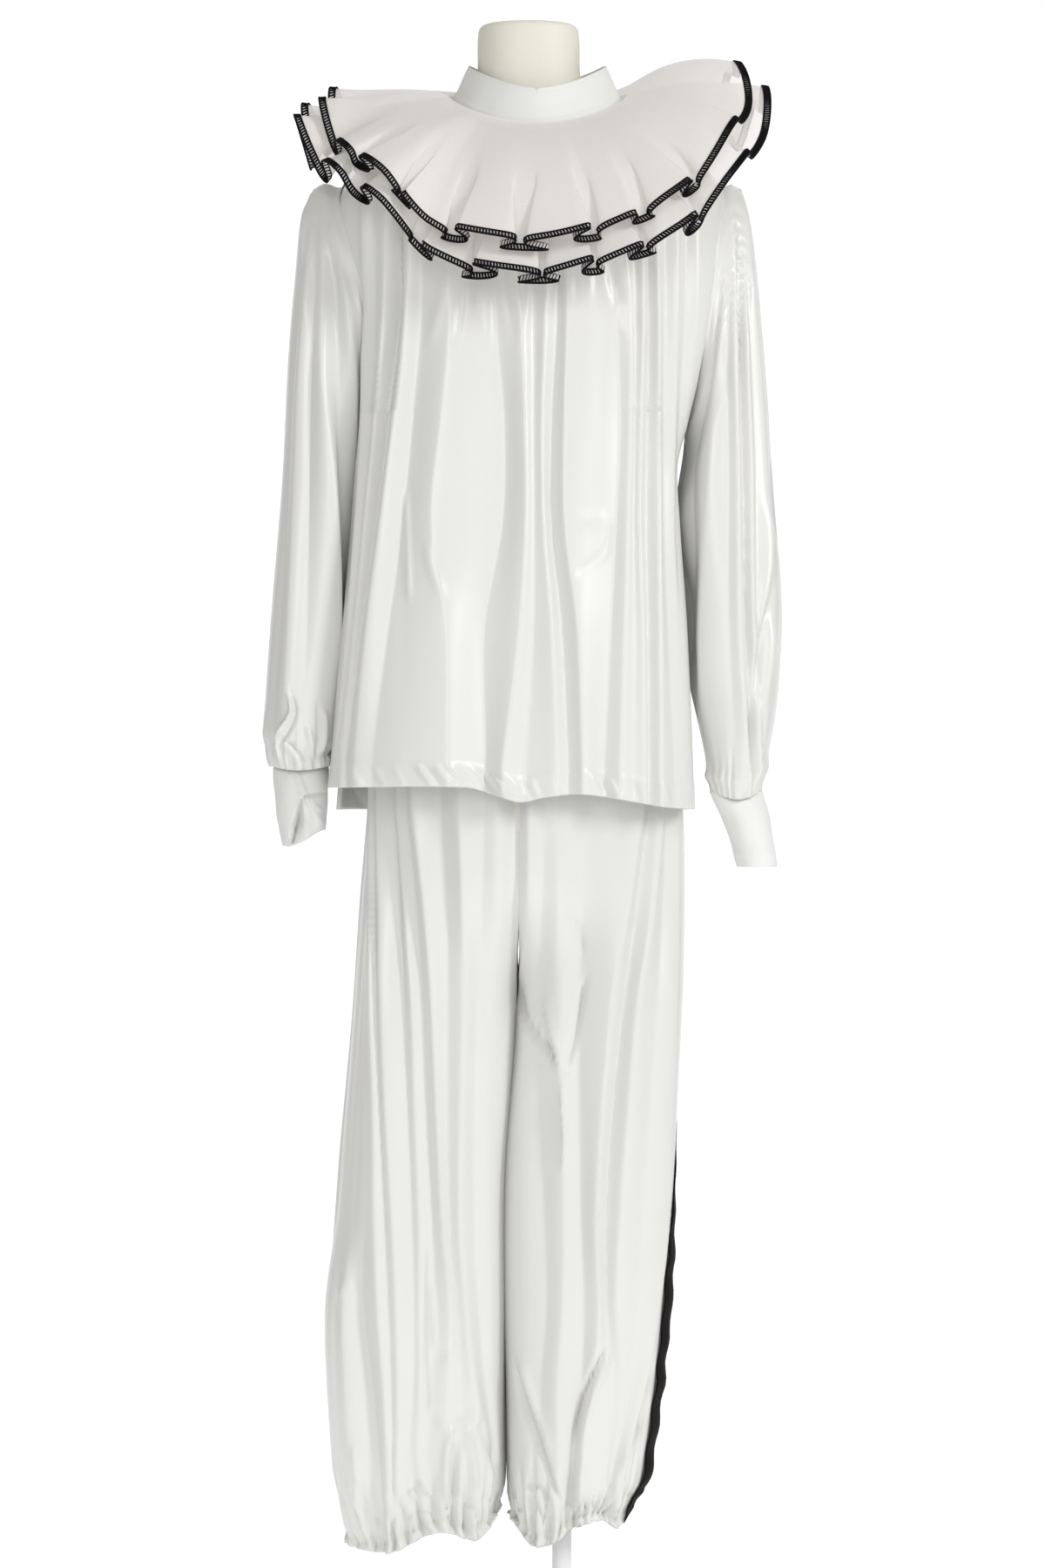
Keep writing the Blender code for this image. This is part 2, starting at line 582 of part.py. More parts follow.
# ---- sleeves and cuffs ----------------------------------------------------------------------------
def arm_point(table, side, turn, z):
    """A point of a sleeve's or cuff's level section: turn 0 is its inner side, 0.25 its front."""
    arm = smooth_at(table, z)
    centre, half = (arm.inner + arm.outer) / 2, (arm.outer - arm.inner) / 2
    angle = 2.0 * math.pi * turn
    x, y = oval(-angle, half, arm.depth, arm.depth, 2.2)
    return Vector((side * (centre - x), arm.middle + y, z))


def sleeve_point(side, turn, down):
    """A sleeve's smooth surface: down is 0 at the armhole and 1 at the cuff."""
    table = SLEEVE[side]
    start = armhole_point(side, turn)
    start += Vector((side * SLEEVE_SEAM, 0.0, SLEEVE_SEAM / 2))
    end = min(row.z for row in table)
    z = start.z + (end - start.z) * down
    hang = arm_point(table, side, turn, min(z, max(row.z for row in table)))
    under = (1.0 + math.cos(2.0 * math.pi * turn)) / 2
    share = ease(-0.01, 0.075 + 0.22 * under, down)
    return Vector((start.x + (hang.x - start.x) * share, start.y + (hang.y - start.y) * share, z))


def turn_away(a, b):
    """The shorter distance between two places round a ring."""
    away = abs(a - b) % 1.0
    return min(away, 1.0 - away)


def sleeve_rise(turn, down):
    """How far a sleeve's folds, cap pleats and cuff gathers lift it."""
    total = 0.0
    for c in SLEEVE_CREASES:
        along = (down - c.from_top) / (c.to_low - c.from_top)
        if 0.0 < along < 1.0:
            middle = c.turn_top + (c.turn_low - c.turn_top) * along
            ends = ease(0.0, 0.2, along) * ease(1.0, 0.8, along)
            total += c.rise * ends * math.exp(-(turn_away(turn, middle) / c.spread) ** 2)
    gathers = ease(0.86, 0.94, down) * math.cos(2 * math.pi * SLEEVE_GATHERS * turn)
    top_half = ease(0.18, 0.30, turn) * ease(0.82, 0.70, turn)
    pleats = ease(0.0, 0.04, down) * ease(0.25, 0.10, down) * math.cos(4 * math.pi * CAP_PLEATS * turn)
    return total + gathers * SLEEVE_GATHER_RISE + pleats * top_half * CAP_PLEAT_RISE


def make_sleeve(side, name, look):
    rows = []
    coarse, fine = 20, 40
    for down, count in [(0.0, coarse), (0.025, coarse), (0.06, coarse), (0.11, coarse), (0.18, coarse),
                        (0.27, coarse), (0.37, coarse), (0.47, coarse), (0.57, coarse), (0.67, coarse),
                        (0.77, coarse), (0.86, coarse), (0.92, fine), (0.97, fine), (1.0, fine)]:
        row = []
        for i in range(count):
            turn = i / count if side > 0 else 1.0 - i / count
            row.append(sleeve_point(side, turn, down))

        def rise(i, p, count=count, down=down):
            turn = i / count if side > 0 else 1.0 - i / count
            return -sleeve_rise(turn % 1.0, down) if side < 0 else sleeve_rise(turn, down)

        rows.append(moved_out(row, rise, closed=True))
    wall(name, rows, SATIN, look, closed=True)


def make_cuff(side, name, look):
    table = CUFF[side]
    high, low = max(r.z for r in table), min(r.z for r in table)
    rows = []
    count = 20
    for k in range(5):
        z = high - (high - low) * k / 4
        tuck = 0.014 * ease(0.2, 1.0, k / 4) if side < 0 else 0.0
        row = []
        for i in range(count):
            turn = i / count
            p = arm_point(table, side, turn, z)
            pushed = tuck * math.exp(-(turn_away(turn, 0.33) / 0.055) ** 2)
            row.append(Vector((p.x, p.y + pushed, p.z - SEAM)))
        rows.append(row)
    wall(name, rows, PLAIN, look, closed=True)


# ---- collar and ruff ------------------------------------------------------------------------------
def round_angle(turn):
    """The plan angle at a turn round the neck, from centre back by the left side and the front."""
    return math.pi / 2 + 2.0 * math.pi * turn


def collar_point(turn, share):
    """The stand collar: a round seam below, and a lens with a corner at each side above."""
    angle = round_angle(turn)
    depth = 0.0712 - 0.0072 * share
    x, y = oval(angle, 0.0825 - 0.0160 * share, depth, depth, 2.0 - 0.30 * share)
    lift = tipped(NECK_LIFT, angle) * (1.0 - share) + tipped(COLLAR_LIFT, angle) * share
    return Vector((RUFF_CENTRE + x, y, COLLAR_FOOT + COLLAR_HEIGHT * share + lift))


def make_collar(look):
    count = 36
    rows = [[collar_point(0.003 + 0.994 * i / count, k / 2) for i in range(count + 1)] for k in range(3)]
    wall("collar", rows, PLAIN, look)


def ruff_surface(layer, turn, distance):
    """A ruff layer without its folds, distance out from the neck along the cloth, and its normal there."""
    flare = smooth_at(RUFF[layer], turn % 1.0)
    out = distance * flare.width
    angle = round_angle(turn)
    outward = Vector((math.cos(angle) / RUFF_START[0], math.sin(angle) / RUFF_START[1], 0.0)).normalized()
    lean = math.radians(flare.slope + flare.arch * (1.0 - distance))
    lift = LAYER_STEP if layer == "upper" else 0.0
    start = Vector((RUFF_CENTRE + RUFF_START[0] * math.cos(angle), RUFF_START[1] * math.sin(angle),
                    RUFF_FOOT + lift + tipped(NECK_LIFT, angle)))
    up = Vector((0.0, 0.0, 1.0))
    normal = outward * -math.sin(lean) + up * math.cos(lean)
    return start + outward * out * math.cos(lean) + up * out * math.sin(lean), normal, out


def ruff_point(layer, place, distance):
    """A ruff layer with its folds, which double back on themselves near the edge; place counts waves."""
    waves = RUFF_WAVES[layer]
    here = smooth_at(waves, place)
    phase = 2.0 * math.pi * place
    wide = CREST_SHARE * math.sin(phase) * min(here.lap, 1.0)
    double = here.lap * ease(0.35, 1.0, distance) * math.sin(2.0 * phase)
    turn = smooth_at(waves, place + (wide + double) / (2.0 * math.pi)).turn
    point, normal, out = ruff_surface(layer, turn, distance)
    rise = here.rise * (out / RUFF_REACH) ** RUFF_SPRING
    return point + normal * rise * (math.cos(phase) + here.lean * math.sin(phase))


def make_ruff(layer, look):
    last = len(RUFF_WAVES[layer]) - 1
    rows = []
    for distance in (0.0, 0.22, 0.46, 0.66, 0.84, 1.0):
        count = last * (WAVE_STEPS if distance > 0.5 else 2)
        rows.append([ruff_point(layer, last * i / count, distance) for i in range(count + 1)])
    wall("ruff_" + layer, rows, ORGANZA, look)


# ---- trousers -------------------------------------------------------------------------------------
def leg_point(side, away, z):
    """A point of a trouser leg: away is 0 at the outer seam, 1 in front at the inner, -1 behind."""
    leg = smooth_at(LEGS[side], z)
    depth = leg.front if away > 0 else leg.back
    centre, half = (leg.outer + leg.middle) / 2, (leg.outer - leg.middle) / 2
    whole = math.pi * abs(away)
    leg_x, leg_y = oval(whole, half, depth, depth, 2.4)
    hip_x, hip_y = oval(whole / 2, leg.outer - leg.middle, depth, depth, 2.2)
    hips = ease(CROTCH, CROTCH + 0.16, z)
    x = (centre + leg_x) * (1 - hips) + (leg.middle + hip_x) * hips
    y = leg_y * 0.94 * (1 - hips) + hip_y * hips
    behind = (away - seam_turn(side, z) + RIDGE_AT) / RIDGE_SPREAD
    ridge = SEAM_RIDGE * seam_forward(side, z) * math.exp(-behind ** 2)
    return Vector((side * (x + ridge), -y if away > 0 else y, z))


def seam_forward(side, z):
    """How far the outer seam has come forward: 0 on the left leg and high up, 1 near the right hem."""
    return 0.0 if side < 0 else ease(0.640, 0.185, z)


def seam_turn(side, z):
    """Where the outer seam and its stripe run: behind the side, and forward near the right hem."""
    return (-0.200 if side < 0 else -0.150) + 0.265 * seam_forward(side, z)


HEM_LINES = {
    # how far each leg's gathered hem lies above its level, at places across (x)
    -1: ((-0.180, -0.004), (-0.132, -0.009), (-0.094, 0.008), (-0.076, 0.011), (-0.049, 0.002),
         (-0.036, 0.010), (-0.024, 0.028)),
    1: ((-0.016, 0.020), (-0.008, 0.013), (0.006, -0.003), (0.027, 0.000), (0.048, 0.015), (0.074, 0.021),
        (0.090, 0.013), (0.104, 0.028)),
}
HEM_SETTLE = 0.060        # above this height over the hem the cloth lies level


def hem_lift(side, x, z):
    """How far the uneven trouser hem is lifted at x; it settles level a little way up the leg."""
    return smooth_at(HEM_LINES[side], x)[1] * (1.0 - ease(0.0, HEM_SETTLE, z - LEG_HEM))


LEG_ROWS = ((1.028, 1), (0.940, 1), (0.850, 1), (0.760, 1), (0.680, 1), (0.600, 1), (0.520, 1),
            (0.430, 1), (0.340, 1), (0.260, 1), (0.200, 1), (0.165, 3), (0.138, 3), (LEG_HEM, 3))
LEG_STEPS = 10


def leg_row(side, face, z, count):
    """A level row of a trouser panel, anticlockwise, with its folds and gathers."""
    sign = 1.0 if face == "front" else -1.0
    seam = seam_turn(side, z)
    line = []
    for k in range(97):
        share = k / 96
        away = seam + (sign - seam) * share
        line.append(leg_point(side, away, z))
    outer_first = (side < 0) == (face == "front")
    if not outer_first:
        line.reverse()
    row = even(line, count)
    gather = ease(0.165, 0.135, z) * HEM_GATHER_RISE
    folds = LEG_FOLDS[(face, side)]

    def rise(i, p):
        edge = ease(0.06, 0.20, min(i, count - i) / count)
        waves = math.cos(2.0 * math.pi * HEM_GATHERS * (i / count)) * gather
        return edge * (fold_rise(folds, p.x, z) + waves)

    row = [Vector((p.x, p.y, z + hem_lift(side, p.x, z))) for p in moved_out(row, rise)]
    return trimmed(row, SEAM / 2)


def trimmed(row, cut):
    """A row cut back a little at both ends, for the seams."""
    first = row[0] + (row[1] - row[0]).normalized() * cut
    last = row[-1] + (row[-2] - row[-1]).normalized() * cut
    return [first] + row[1:-1] + [last]


def make_trousers(look, stripe_look):
    for side, side_name in ((-1, "left"), (1, "right")):
        for face in ("front", "back"):
            rows = [leg_row(side, face, z, LEG_STEPS * parts) for z, parts in LEG_ROWS]
            wall(f"trouser_{face}_{side_name}", rows, SATIN, look)
        make_stripe(side, "stripe_" + side_name, stripe_look)


def make_stripe(side, name, look):
    """The stripe lies over the outer seam, a little out from both panels."""
    rows = []
    for z, _ in LEG_ROWS:
        leg = smooth_at(LEGS[side], z)
        half = (leg.outer - leg.middle) / 2
        spread = STRIPE_WIDTH / 2 / (half * 2.6)
        middle = seam_turn(side, z)
        row = [leg_point(side, middle + spread * (k - 1.5) / 1.5, z) for k in range(4)]
        if side < 0:
            row.reverse()
        row = row[::-1]
        row = [Vector((p.x, p.y, z + hem_lift(side, p.x, z))) for p in row]
        rows.append(moved_out(row, lambda i, p: 0.0030))
    wall(name, rows, SATIN, look)


def make_waistband(look):
    rows = []
    count = 24
    for k in range(2):
        z = WAIST + 0.0006 + BAND_HEIGHT * k
        body = smooth_at(TORSO, z)
        row = []
        for i in range(count):
            x, y = oval(2.0 * math.pi * i / count, body.half + 0.004, body.front + 0.004, body.back + 0.004)
            row.append(Vector((body.centre + x, y, z)))
        rows.append(row)
    wall("waistband", rows, 0.0026, look, closed=True)


# ---- dress form -----------------------------------------------------------------------------------
def make_form(look):
    rings = []
    count = 24
    for body in TORSO:
        ring = []
        for i in range(count):
            angle = 2.0 * math.pi * i / count
            x, y = oval(angle, body.half, body.front, body.back, 2.2)
            ring.append(Vector((body.centre + x, y, body.z)))
        rings.append(ring)
    loft("form_torso", rings, look)


def make_pole(look):
    rings = []
    for z in (BASE_THICKNESS + 0.0003, FORM_FLOOR - 0.0003):
        rings.append([Vector((POLE_AT[0] + POLE_RADIUS * math.cos(2 * math.pi * i / POLE_SIDES),
                              POLE_AT[1] + POLE_RADIUS * math.sin(2 * math.pi * i / POLE_SIDES), z))
                      for i in range(POLE_SIDES)])
    loft("pole", rings, look)


def make_base(look):
    rings = []
    top = BASE_RADIUS - BASE_BEVEL
    for z, radius in ((0.0, top), (BASE_BEVEL, BASE_RADIUS),
                      (BASE_THICKNESS - BASE_BEVEL, BASE_RADIUS), (BASE_THICKNESS, top)):
        rings.append([Vector((radius * math.cos(2 * math.pi * i / BASE_SIDES),
                              radius * math.sin(2 * math.pi * i / BASE_SIDES), z))
                      for i in range(BASE_SIDES)])
    loft("base", rings, look)


def main():
    for old in list(bpy.data.objects):
        bpy.data.objects.remove(old)
    satin = material("white_satin", (0.86, 0.86, 0.82), 0.32)
    plain = material("plain_white_cloth", (0.84, 0.85, 0.84), 0.80)
    organza = material("sheer_organza", (0.80, 0.77, 0.75), 0.45)
    black = material("black_satin_ribbon", (0.010, 0.008, 0.008), 0.45)
    cream = material("cream_form_cover", (0.80, 0.78, 0.70), 0.60)
    white_metal = material("white_painted_steel", (0.80, 0.80, 0.78), 0.35)
    make_tunic(satin)
    for side, name in ((-1, "left"), (1, "right")):
        make_sleeve(side, "sleeve_" + name, satin)
        make_cuff(side, "cuff_" + name, plain)
    make_collar(plain)
    for layer in ("lower", "upper"):
        make_ruff(layer, organza)
    make_trousers(satin, black)
    make_waistband(satin)
    make_form(cream)
    make_pole(white_metal)
    make_base(white_metal)


main()
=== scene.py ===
"""The looks of the clown costume: satin shells, organza ruff, overlocked edges, cuffs and dress form."""

import math
import random
from collections import namedtuple

import bmesh
import bpy
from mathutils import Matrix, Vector, noise


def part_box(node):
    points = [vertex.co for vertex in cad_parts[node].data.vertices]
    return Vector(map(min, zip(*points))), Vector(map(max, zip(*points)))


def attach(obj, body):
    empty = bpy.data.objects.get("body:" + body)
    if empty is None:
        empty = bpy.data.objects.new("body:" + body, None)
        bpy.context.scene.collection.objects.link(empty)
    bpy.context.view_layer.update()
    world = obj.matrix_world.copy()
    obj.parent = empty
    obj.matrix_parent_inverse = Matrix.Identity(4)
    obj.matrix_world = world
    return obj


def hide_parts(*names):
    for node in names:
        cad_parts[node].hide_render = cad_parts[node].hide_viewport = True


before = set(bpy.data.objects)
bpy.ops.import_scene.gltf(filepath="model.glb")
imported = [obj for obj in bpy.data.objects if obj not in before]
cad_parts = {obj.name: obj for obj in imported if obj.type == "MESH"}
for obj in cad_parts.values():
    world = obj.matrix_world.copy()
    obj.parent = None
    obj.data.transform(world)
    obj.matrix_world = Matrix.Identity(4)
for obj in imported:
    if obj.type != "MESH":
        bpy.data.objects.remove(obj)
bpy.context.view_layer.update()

# ---- sums -----------------------------------------------------------------------------------------
MM = 0.001
UP = Vector((0.0, 0.0, 1.0))


def ease(low, high, value):
    """0 below low, 1 above high, smooth between; high may be the smaller."""
    t = min(max((value - low) / (high - low), 0.0), 1.0)
    return t * t * (3.0 - 2.0 * t)


def smooth_at(table, value):
    """The row of a table at a value of its first column, on a smooth curve through the rows."""
    rows = table if table[0][0] < table[-1][0] else table[::-1]
    value = min(max(value, rows[0][0]), rows[-1][0])
    i = 0
    while i < len(rows) - 2 and rows[i + 1][0] <= value:
        i += 1
    low, high = rows[i], rows[i + 1]
    before, after = rows[max(i - 1, 0)], rows[min(i + 2, len(rows) - 1)]
    step = high[0] - low[0]
    t = (value - low[0]) / step
    weights = (2 * t**3 - 3 * t**2 + 1, t**3 - 2 * t**2 + t, 3 * t**2 - 2 * t**3, t**3 - t**2)
    start, end = step / (high[0] - before[0]), step / (after[0] - low[0])
    out = [value]
    for c in range(1, len(low)):
        slope_low = (high[c] - before[c]) * start
        slope_high = (after[c] - low[c]) * end
        parts = low[c], slope_low, high[c], slope_high
        out.append(sum(weight * part for weight, part in zip(weights, parts)))
    return getattr(type(low), "_make", tuple)(out)


def signed_power(value, power):
    return math.copysign(abs(value) ** power, value)


def oval(angle, half, front, back, fullness=2.3):
    """A point of an oval with fuller corners than an ellipse; -Y is the front."""
    power = 2.0 / fullness
    depth = front if math.sin(angle) < 0 else back
    return half * signed_power(math.cos(angle), power), depth * signed_power(math.sin(angle), power)


def even(points, count):
    """The same line as count + 1 points at even distances."""
    lengths = [0.0]
    for a, b in zip(points, points[1:]):
        lengths.append(lengths[-1] + (b - a).length)
    out, k = [], 0
    for i in range(count + 1):
        want = lengths[-1] * i / count
        while k < len(points) - 2 and lengths[k + 1] < want:
            k += 1
        span = max(lengths[k + 1] - lengths[k], 1e-9)
        out.append(points[k].lerp(points[k + 1], min(max((want - lengths[k]) / span, 0.0), 1.0)))
    return out


def facing(along):
    """The level direction square to a direction along a row, to its right."""
    return Vector((along.y, -along.x, 0.0)).normalized()


def moved_out(row, distance, closed=False):
    """A row moved outwards, level, by distance(i, point)."""
    out, last = [], len(row) - 1
    for i, point in enumerate(row):
        before = row[i - 1] if i > 0 or closed else row[0]
        after = row[(i + 1) % len(row)] if i < last or closed else row[last]
        out.append(point + facing(after - before) * distance(i, point))
    return out


def turn_away(a, b):
    """The shorter distance between two places round a ring."""
    away = abs(a - b) % 1.0
    return min(away, 1.0 - away)


def bell(value, middle, spread):
    """1 at the middle, falling away smoothly at both sides."""
    return math.exp(-((value - middle) / spread) ** 2)


def noise_at(point, sideways, up):
    """Soft noise, from -1 to 1, with so many patches to a metre sideways and up."""
    return noise.noise(Vector((point.x * sideways, point.y * sideways, point.z * up)))


def ripple(point):
    """A soft uneven lift, long down the cloth and short across it."""
    return 0.0005 * noise_at(point, 55.0, 7.0)


# ---- sizes shared with the solids (metres, but millimetres in the tables) --------------------------
SATIN, PLAIN, RIBBON, BAND, ALLOWANCE = 0.0007, 0.0012, 0.0006, 0.0016, 0.0030
SEAM_SINKS = 0.0010
HEM_BACK = 0.8200
UNDERARM, SHOULDER, NECKLINE = 1.200, 1.428, 1.507
# How far the neck's seam and the collar's top tip: with the sine round the neck, then with its square.
NECK_LIFT, COLLAR_LIFT = (0.0228, 0.0148), (0.0105, 0.0205)
ARMHOLE_DEPTH = 0.060
COLLAR_FOOT, COLLAR_HEIGHT = 1.5100, 0.0355
# The collar's ring at its seam and at its top: half its width, half its depth and its fullness.
COLLAR_SEAM, COLLAR_TOP = (0.0825, 0.0712, 2.0), (0.0665, 0.0640, 1.7)
RUFF_FOOT, RUFF_CENTRE = 1.5140, 0.0120
RUFF_START = (0.0875, 0.0760)
RUFF_REACH, RUFF_SPRING = 0.150, 3.2
LAYER_STEP, CREST_SHARE = 0.0040, 0.5
CROTCH, LEG_TOP, LEG_HEM = 0.600, 1.028, 0.112
STRIPE_WIDTH, SEAM_RIDGE = 0.028, 0.0042
WAIST_LOW, WAIST_HIGH, WAIST_ROOM = 1.0306, 1.0646, 0.004
POLE_AT, POLE_RADIUS, BASE_BEVEL = (0.036, 0.010), 0.0095, 0.0020

# A tunic section: corner is how far its front corners stand out at the sides, full how square its front is.
Section = namedtuple("Section", "z centre half front back corner full")
Body = namedtuple("Body", "z centre half front back")
Arm = namedtuple("Arm", "z inner outer middle depth")
Leg = namedtuple("Leg", "z outer middle front back")
# How a ruff layer stands at a place round the neck: its slope and the arch it loses outwards, in degrees.
Flare = namedtuple("Flare", "turn slope arch width")
Wave = namedtuple("Wave", "number turn rise lean lap")
Pucker = namedtuple("Pucker", "x lean rise spread")
Place = namedtuple("Place", "x z")
NO_LENGTHS = ("full", "number", "turn", "slope", "arch", "lean", "lap")


def in_mm(kind, *rows):
    """Rows with named columns, from rows whose lengths are in millimetres."""
    scale = [1.0 if column in NO_LENGTHS else MM for column in kind._fields]
    return tuple(kind(*(value * unit for value, unit in zip(row, scale))) for row in rows)


TUNIC = in_mm(
    Section,
    (820, -13, 172, 130, 122, 7, 4),
    (1000, -9.8, 161.7, 125, 116, 6, 4),
    (1140, -9, 153, 118, 111, 5.5, 4),
    (1200, -2, 158, 115, 109, 4, 3.6),
    (1310, 11, 174, 111, 107, 2, 3.2),
    (1400, 5, 187, 106, 103, 0, 3),
    (1432, 7, 178, 102, 100, 0, 2.8),
    (1465, 12, 140, 93, 92, 0, 2.5),
    (1490, 13, 105, 80, 80, 0, 2.3),
    (1507, 12, 80, 69, 69, 0, 2.3),
)
CORNER_AT, CORNER_SPREAD = 0.50, 0.22     # where along a section's depth its corners stand, and how wide
TORSO = in_mm(
    Body,
    (800, 0, 133, 88, 90),
    (880, 0, 140, 92, 96),
    (960, 1, 129, 86, 89),
    (1045, 2, 112, 80, 78),
    (1140, 4, 123, 90, 84),
    (1240, 8, 133, 99, 90),
    (1330, 13, 146, 98, 93),
    (1395, 16, 160, 93, 90),
    (1425, 16.5, 157, 85, 86),
    (1455, 15, 130, 69, 80),
    (1482, 12, 92, 56, 72),
    (1505, 7, 62, 49, 58),
    (1530, 4, 51, 45, 48),
    (1577, 3.4, 49, 44, 44),
    (1584, 3.4, 43, 38, 38),
)
SLEEVE = {
    -1: in_mm(
        Arm,
        (1440, 178, 200, 0, 44),
        (1395, 183, 217, -1, 54),
        (1338, 177.5, 224, -2, 57),
        (1253, 168, 231, -4, 64),
        (1134, 165.5, 236.5, -8, 68),
        (1015, 173, 246, -10, 68),
        (930, 181.5, 252, -14, 64),
        (885, 185, 254, -18, 56),
        (862, 189, 245, -22, 40),
    ),
    1: in_mm(
        Arm,
        (1436, 189, 206, 0, 44),
        (1409, 190, 215.5, -1, 54),
        (1354, 189, 224.5, -2, 59),
        (1272, 178.5, 232, -4, 64),
        (1148, 147, 240.5, -8, 68),
        (1015, 156, 249.5, -12, 68),
        (950, 159, 247, -16, 64),
        (915, 166, 243, -20, 60),
        (880, 173.5, 237, -22, 52),
        (840, 179, 230, -24, 40),
    ),
}
CUFF = {
    -1: in_mm(
        Arm,
        (860, 191, 244, -22, 33),
        (840, 192, 243, -23, 33),
        (815, 192.5, 241, -24, 31),
        (785, 195, 234, -25, 27),
    ),
    1: in_mm(
        Arm,
        (838, 179.5, 230, -24, 33),
        (815, 190.5, 236.5, -26, 31),
        (792, 199, 240, -28, 29),
        (765, 206, 243, -30, 27),
    ),
}
LEGS = {
    -1: in_mm(
        Leg,
        (106, 169, 25, 56, 56),
        (148, 182, 21.5, 70, 68),
        (188, 188.7, 20, 78, 76),
        (320, 194.7, 19.8, 84, 82),
        (464, 187, 18.5, 84, 84),
        (589, 176, 10, 88, 92),
        (674, 169, 6.7, 93, 99),
        (814, 156.4, 6.7, 98, 104),
        (920, 150, 3, 98, 102),
        (1030, 115, 0, 83, 81),
    ),
    1: in_mm(
        Leg,
        (106, 98.5, -14, 54, 54),
        (148, 110, -16, 68, 66),
        (188, 119, -16.5, 76, 74),
        (320, 135, -16.8, 82, 80),
        (464, 144.5, -16, 83, 83),
        (589, 151, -8, 87, 91),
        (674, 154.5, -6.1, 92, 98),
        (814, 154, -6.1, 97, 103),
        (920, 144, -2, 97, 101),
        (1030, 119, 1, 83, 81),
    ),
}
RUFF = {
    "upper": in_mm(
        Flare,
        (0, -30, 16, 150),
        (0.125, -20, 18, 148),
        (0.2, -9, 20, 108),
        (0.25, -9, 20, 121),
        (0.31, -24, 16, 132),
        (0.375, -31, 14, 150),
        (0.41, -47, 14, 164),
        (0.5, -49, 18, 172),
        (0.557, -45, 18, 171),
        (0.593, -38, 18, 168),
        (0.629, -31, 20, 156),
        (0.66, -17, 24, 142),
        (0.7, -4, 32, 130),
        (0.75, 13, 38, 114),
        (0.8, 9, 36, 120),
        (0.875, -8, 22, 140),
        (1, -30, 16, 150),
    ),
    "lower": in_mm(
        Flare,
        (0, -40, 10, 178),
        (0.125, -30, 10, 172),
        (0.2, -16, 12, 134),
        (0.25, -15, 12, 147),
        (0.31, -29, 10, 150),
        (0.375, -38, 10, 166),
        (0.41, -54, 8, 180),
        (0.5, -57, 10, 186),
        (0.55, -53, 10, 188),
        (0.582, -47, 10, 190),
        (0.617, -41, 12, 184),
        (0.65, -31, 12, 166),
        (0.7, -12.5, 18, 149),
        (0.75, 0.5, 24, 137),
        (0.8, -4, 22, 145),
        (0.875, -20, 12, 166),
        (1, -40, 10, 178),
    ),
}
# Where each wave of a layer has its crest, how far it rises at 0.15 m from the neck, how it leans,
# and how far it laps over its neighbours. Beside the shoulders the two layers nest, crest in crest.
WAVES_BEHIND_LEFT = (
    (0.002, 9, 0, 0), (0.05, 10, 0, 0.25), (0.1, 12, 0, 0.2), (0.15, 16, 0, 0.1),
)
WAVES_BEHIND_RIGHT = (
    (0.648, 10, 0.4, 0.5), (0.744, 14, 0, 0.1), (0.804, 14, 0, 0.1), (0.852, 13, 0, 0.2),
    (0.9, 11, 0, 0.3), (0.95, 10, 0, 0.25), (0.998, 9, 0, 0),
)
WAVES = {
    "upper": (
        (0.196, 26, 0, 0), (0.232, 54, 0, 0), (0.266, 40, 0, 0), (0.318, 15, 0.3, 0.4),
        (0.372, 8, -0.6, 1.3), (0.404, 5, -0.8, 1), (0.456, 7, -0.5, 1.2), (0.518, 5, 0.9, 1.7),
        (0.562, 5, 0.3, 0.7), (0.602, 6, 0.8, 1.2),
    ),
    "lower": (
        (0.196, 20, 0, 0), (0.232, 38, 0, 0), (0.266, 30, 0, 0), (0.318, 15, 0.3, 0.4),
        (0.378, 8, -0.4, 0.8), (0.42, 5, -0.8, 1.1), (0.474, 5, -0.9, 1.9), (0.527, 5, 0.7, 1.3),
        (0.563, 4, 0.4, 1.3), (0.602, 5, 0.8, 1.2),
    ),
}
RUFF_WAVES = {
    layer: in_mm(Wave, *((k, *row) for k, row in enumerate(WAVES_BEHIND_LEFT + rows + WAVES_BEHIND_RIGHT)))
    for layer, rows in WAVES.items()
}

# ---- folds ----------------------------------------------------------------------------------------
# A panel's folds are its crest and valley lines, side by side: where each runs across the panel and how
# far it rises, in millimetres, at the panel's levels from the top down. In between the cloth eases over.
CRISP = 0.6               # 0 gives round folds, 1 creased ones
FLAT = (0,) * 8           # the rise of a line at a panel's edge


class Folds:
    """Crest and valley lines that can be read at any height."""

    def __init__(self, levels, lines):
        self.table = [(level * MM, *(v * MM for across, rise in lines for v in (across[k], rise[k])))
                      for k, level in enumerate(levels)]
        self.level, self.row = None, None

    def rise(self, x, z):
        if z != self.level:
            self.level, self.row = z, smooth_at(self.table, z)[1:]
        row = self.row
        if x <= row[0]:
            return row[1]
        for k in range(0, len(row) - 2, 2):
            if x < row[k + 2]:
                share = (x - row[k]) / max(row[k + 2] - row[k], 1e-4)
                soft = CRISP * share + (1.0 - CRISP) * ease(0.0, 1.0, share)
                return row[k + 1] + (row[k + 3] - row[k + 1]) * soft
        return row[-1]


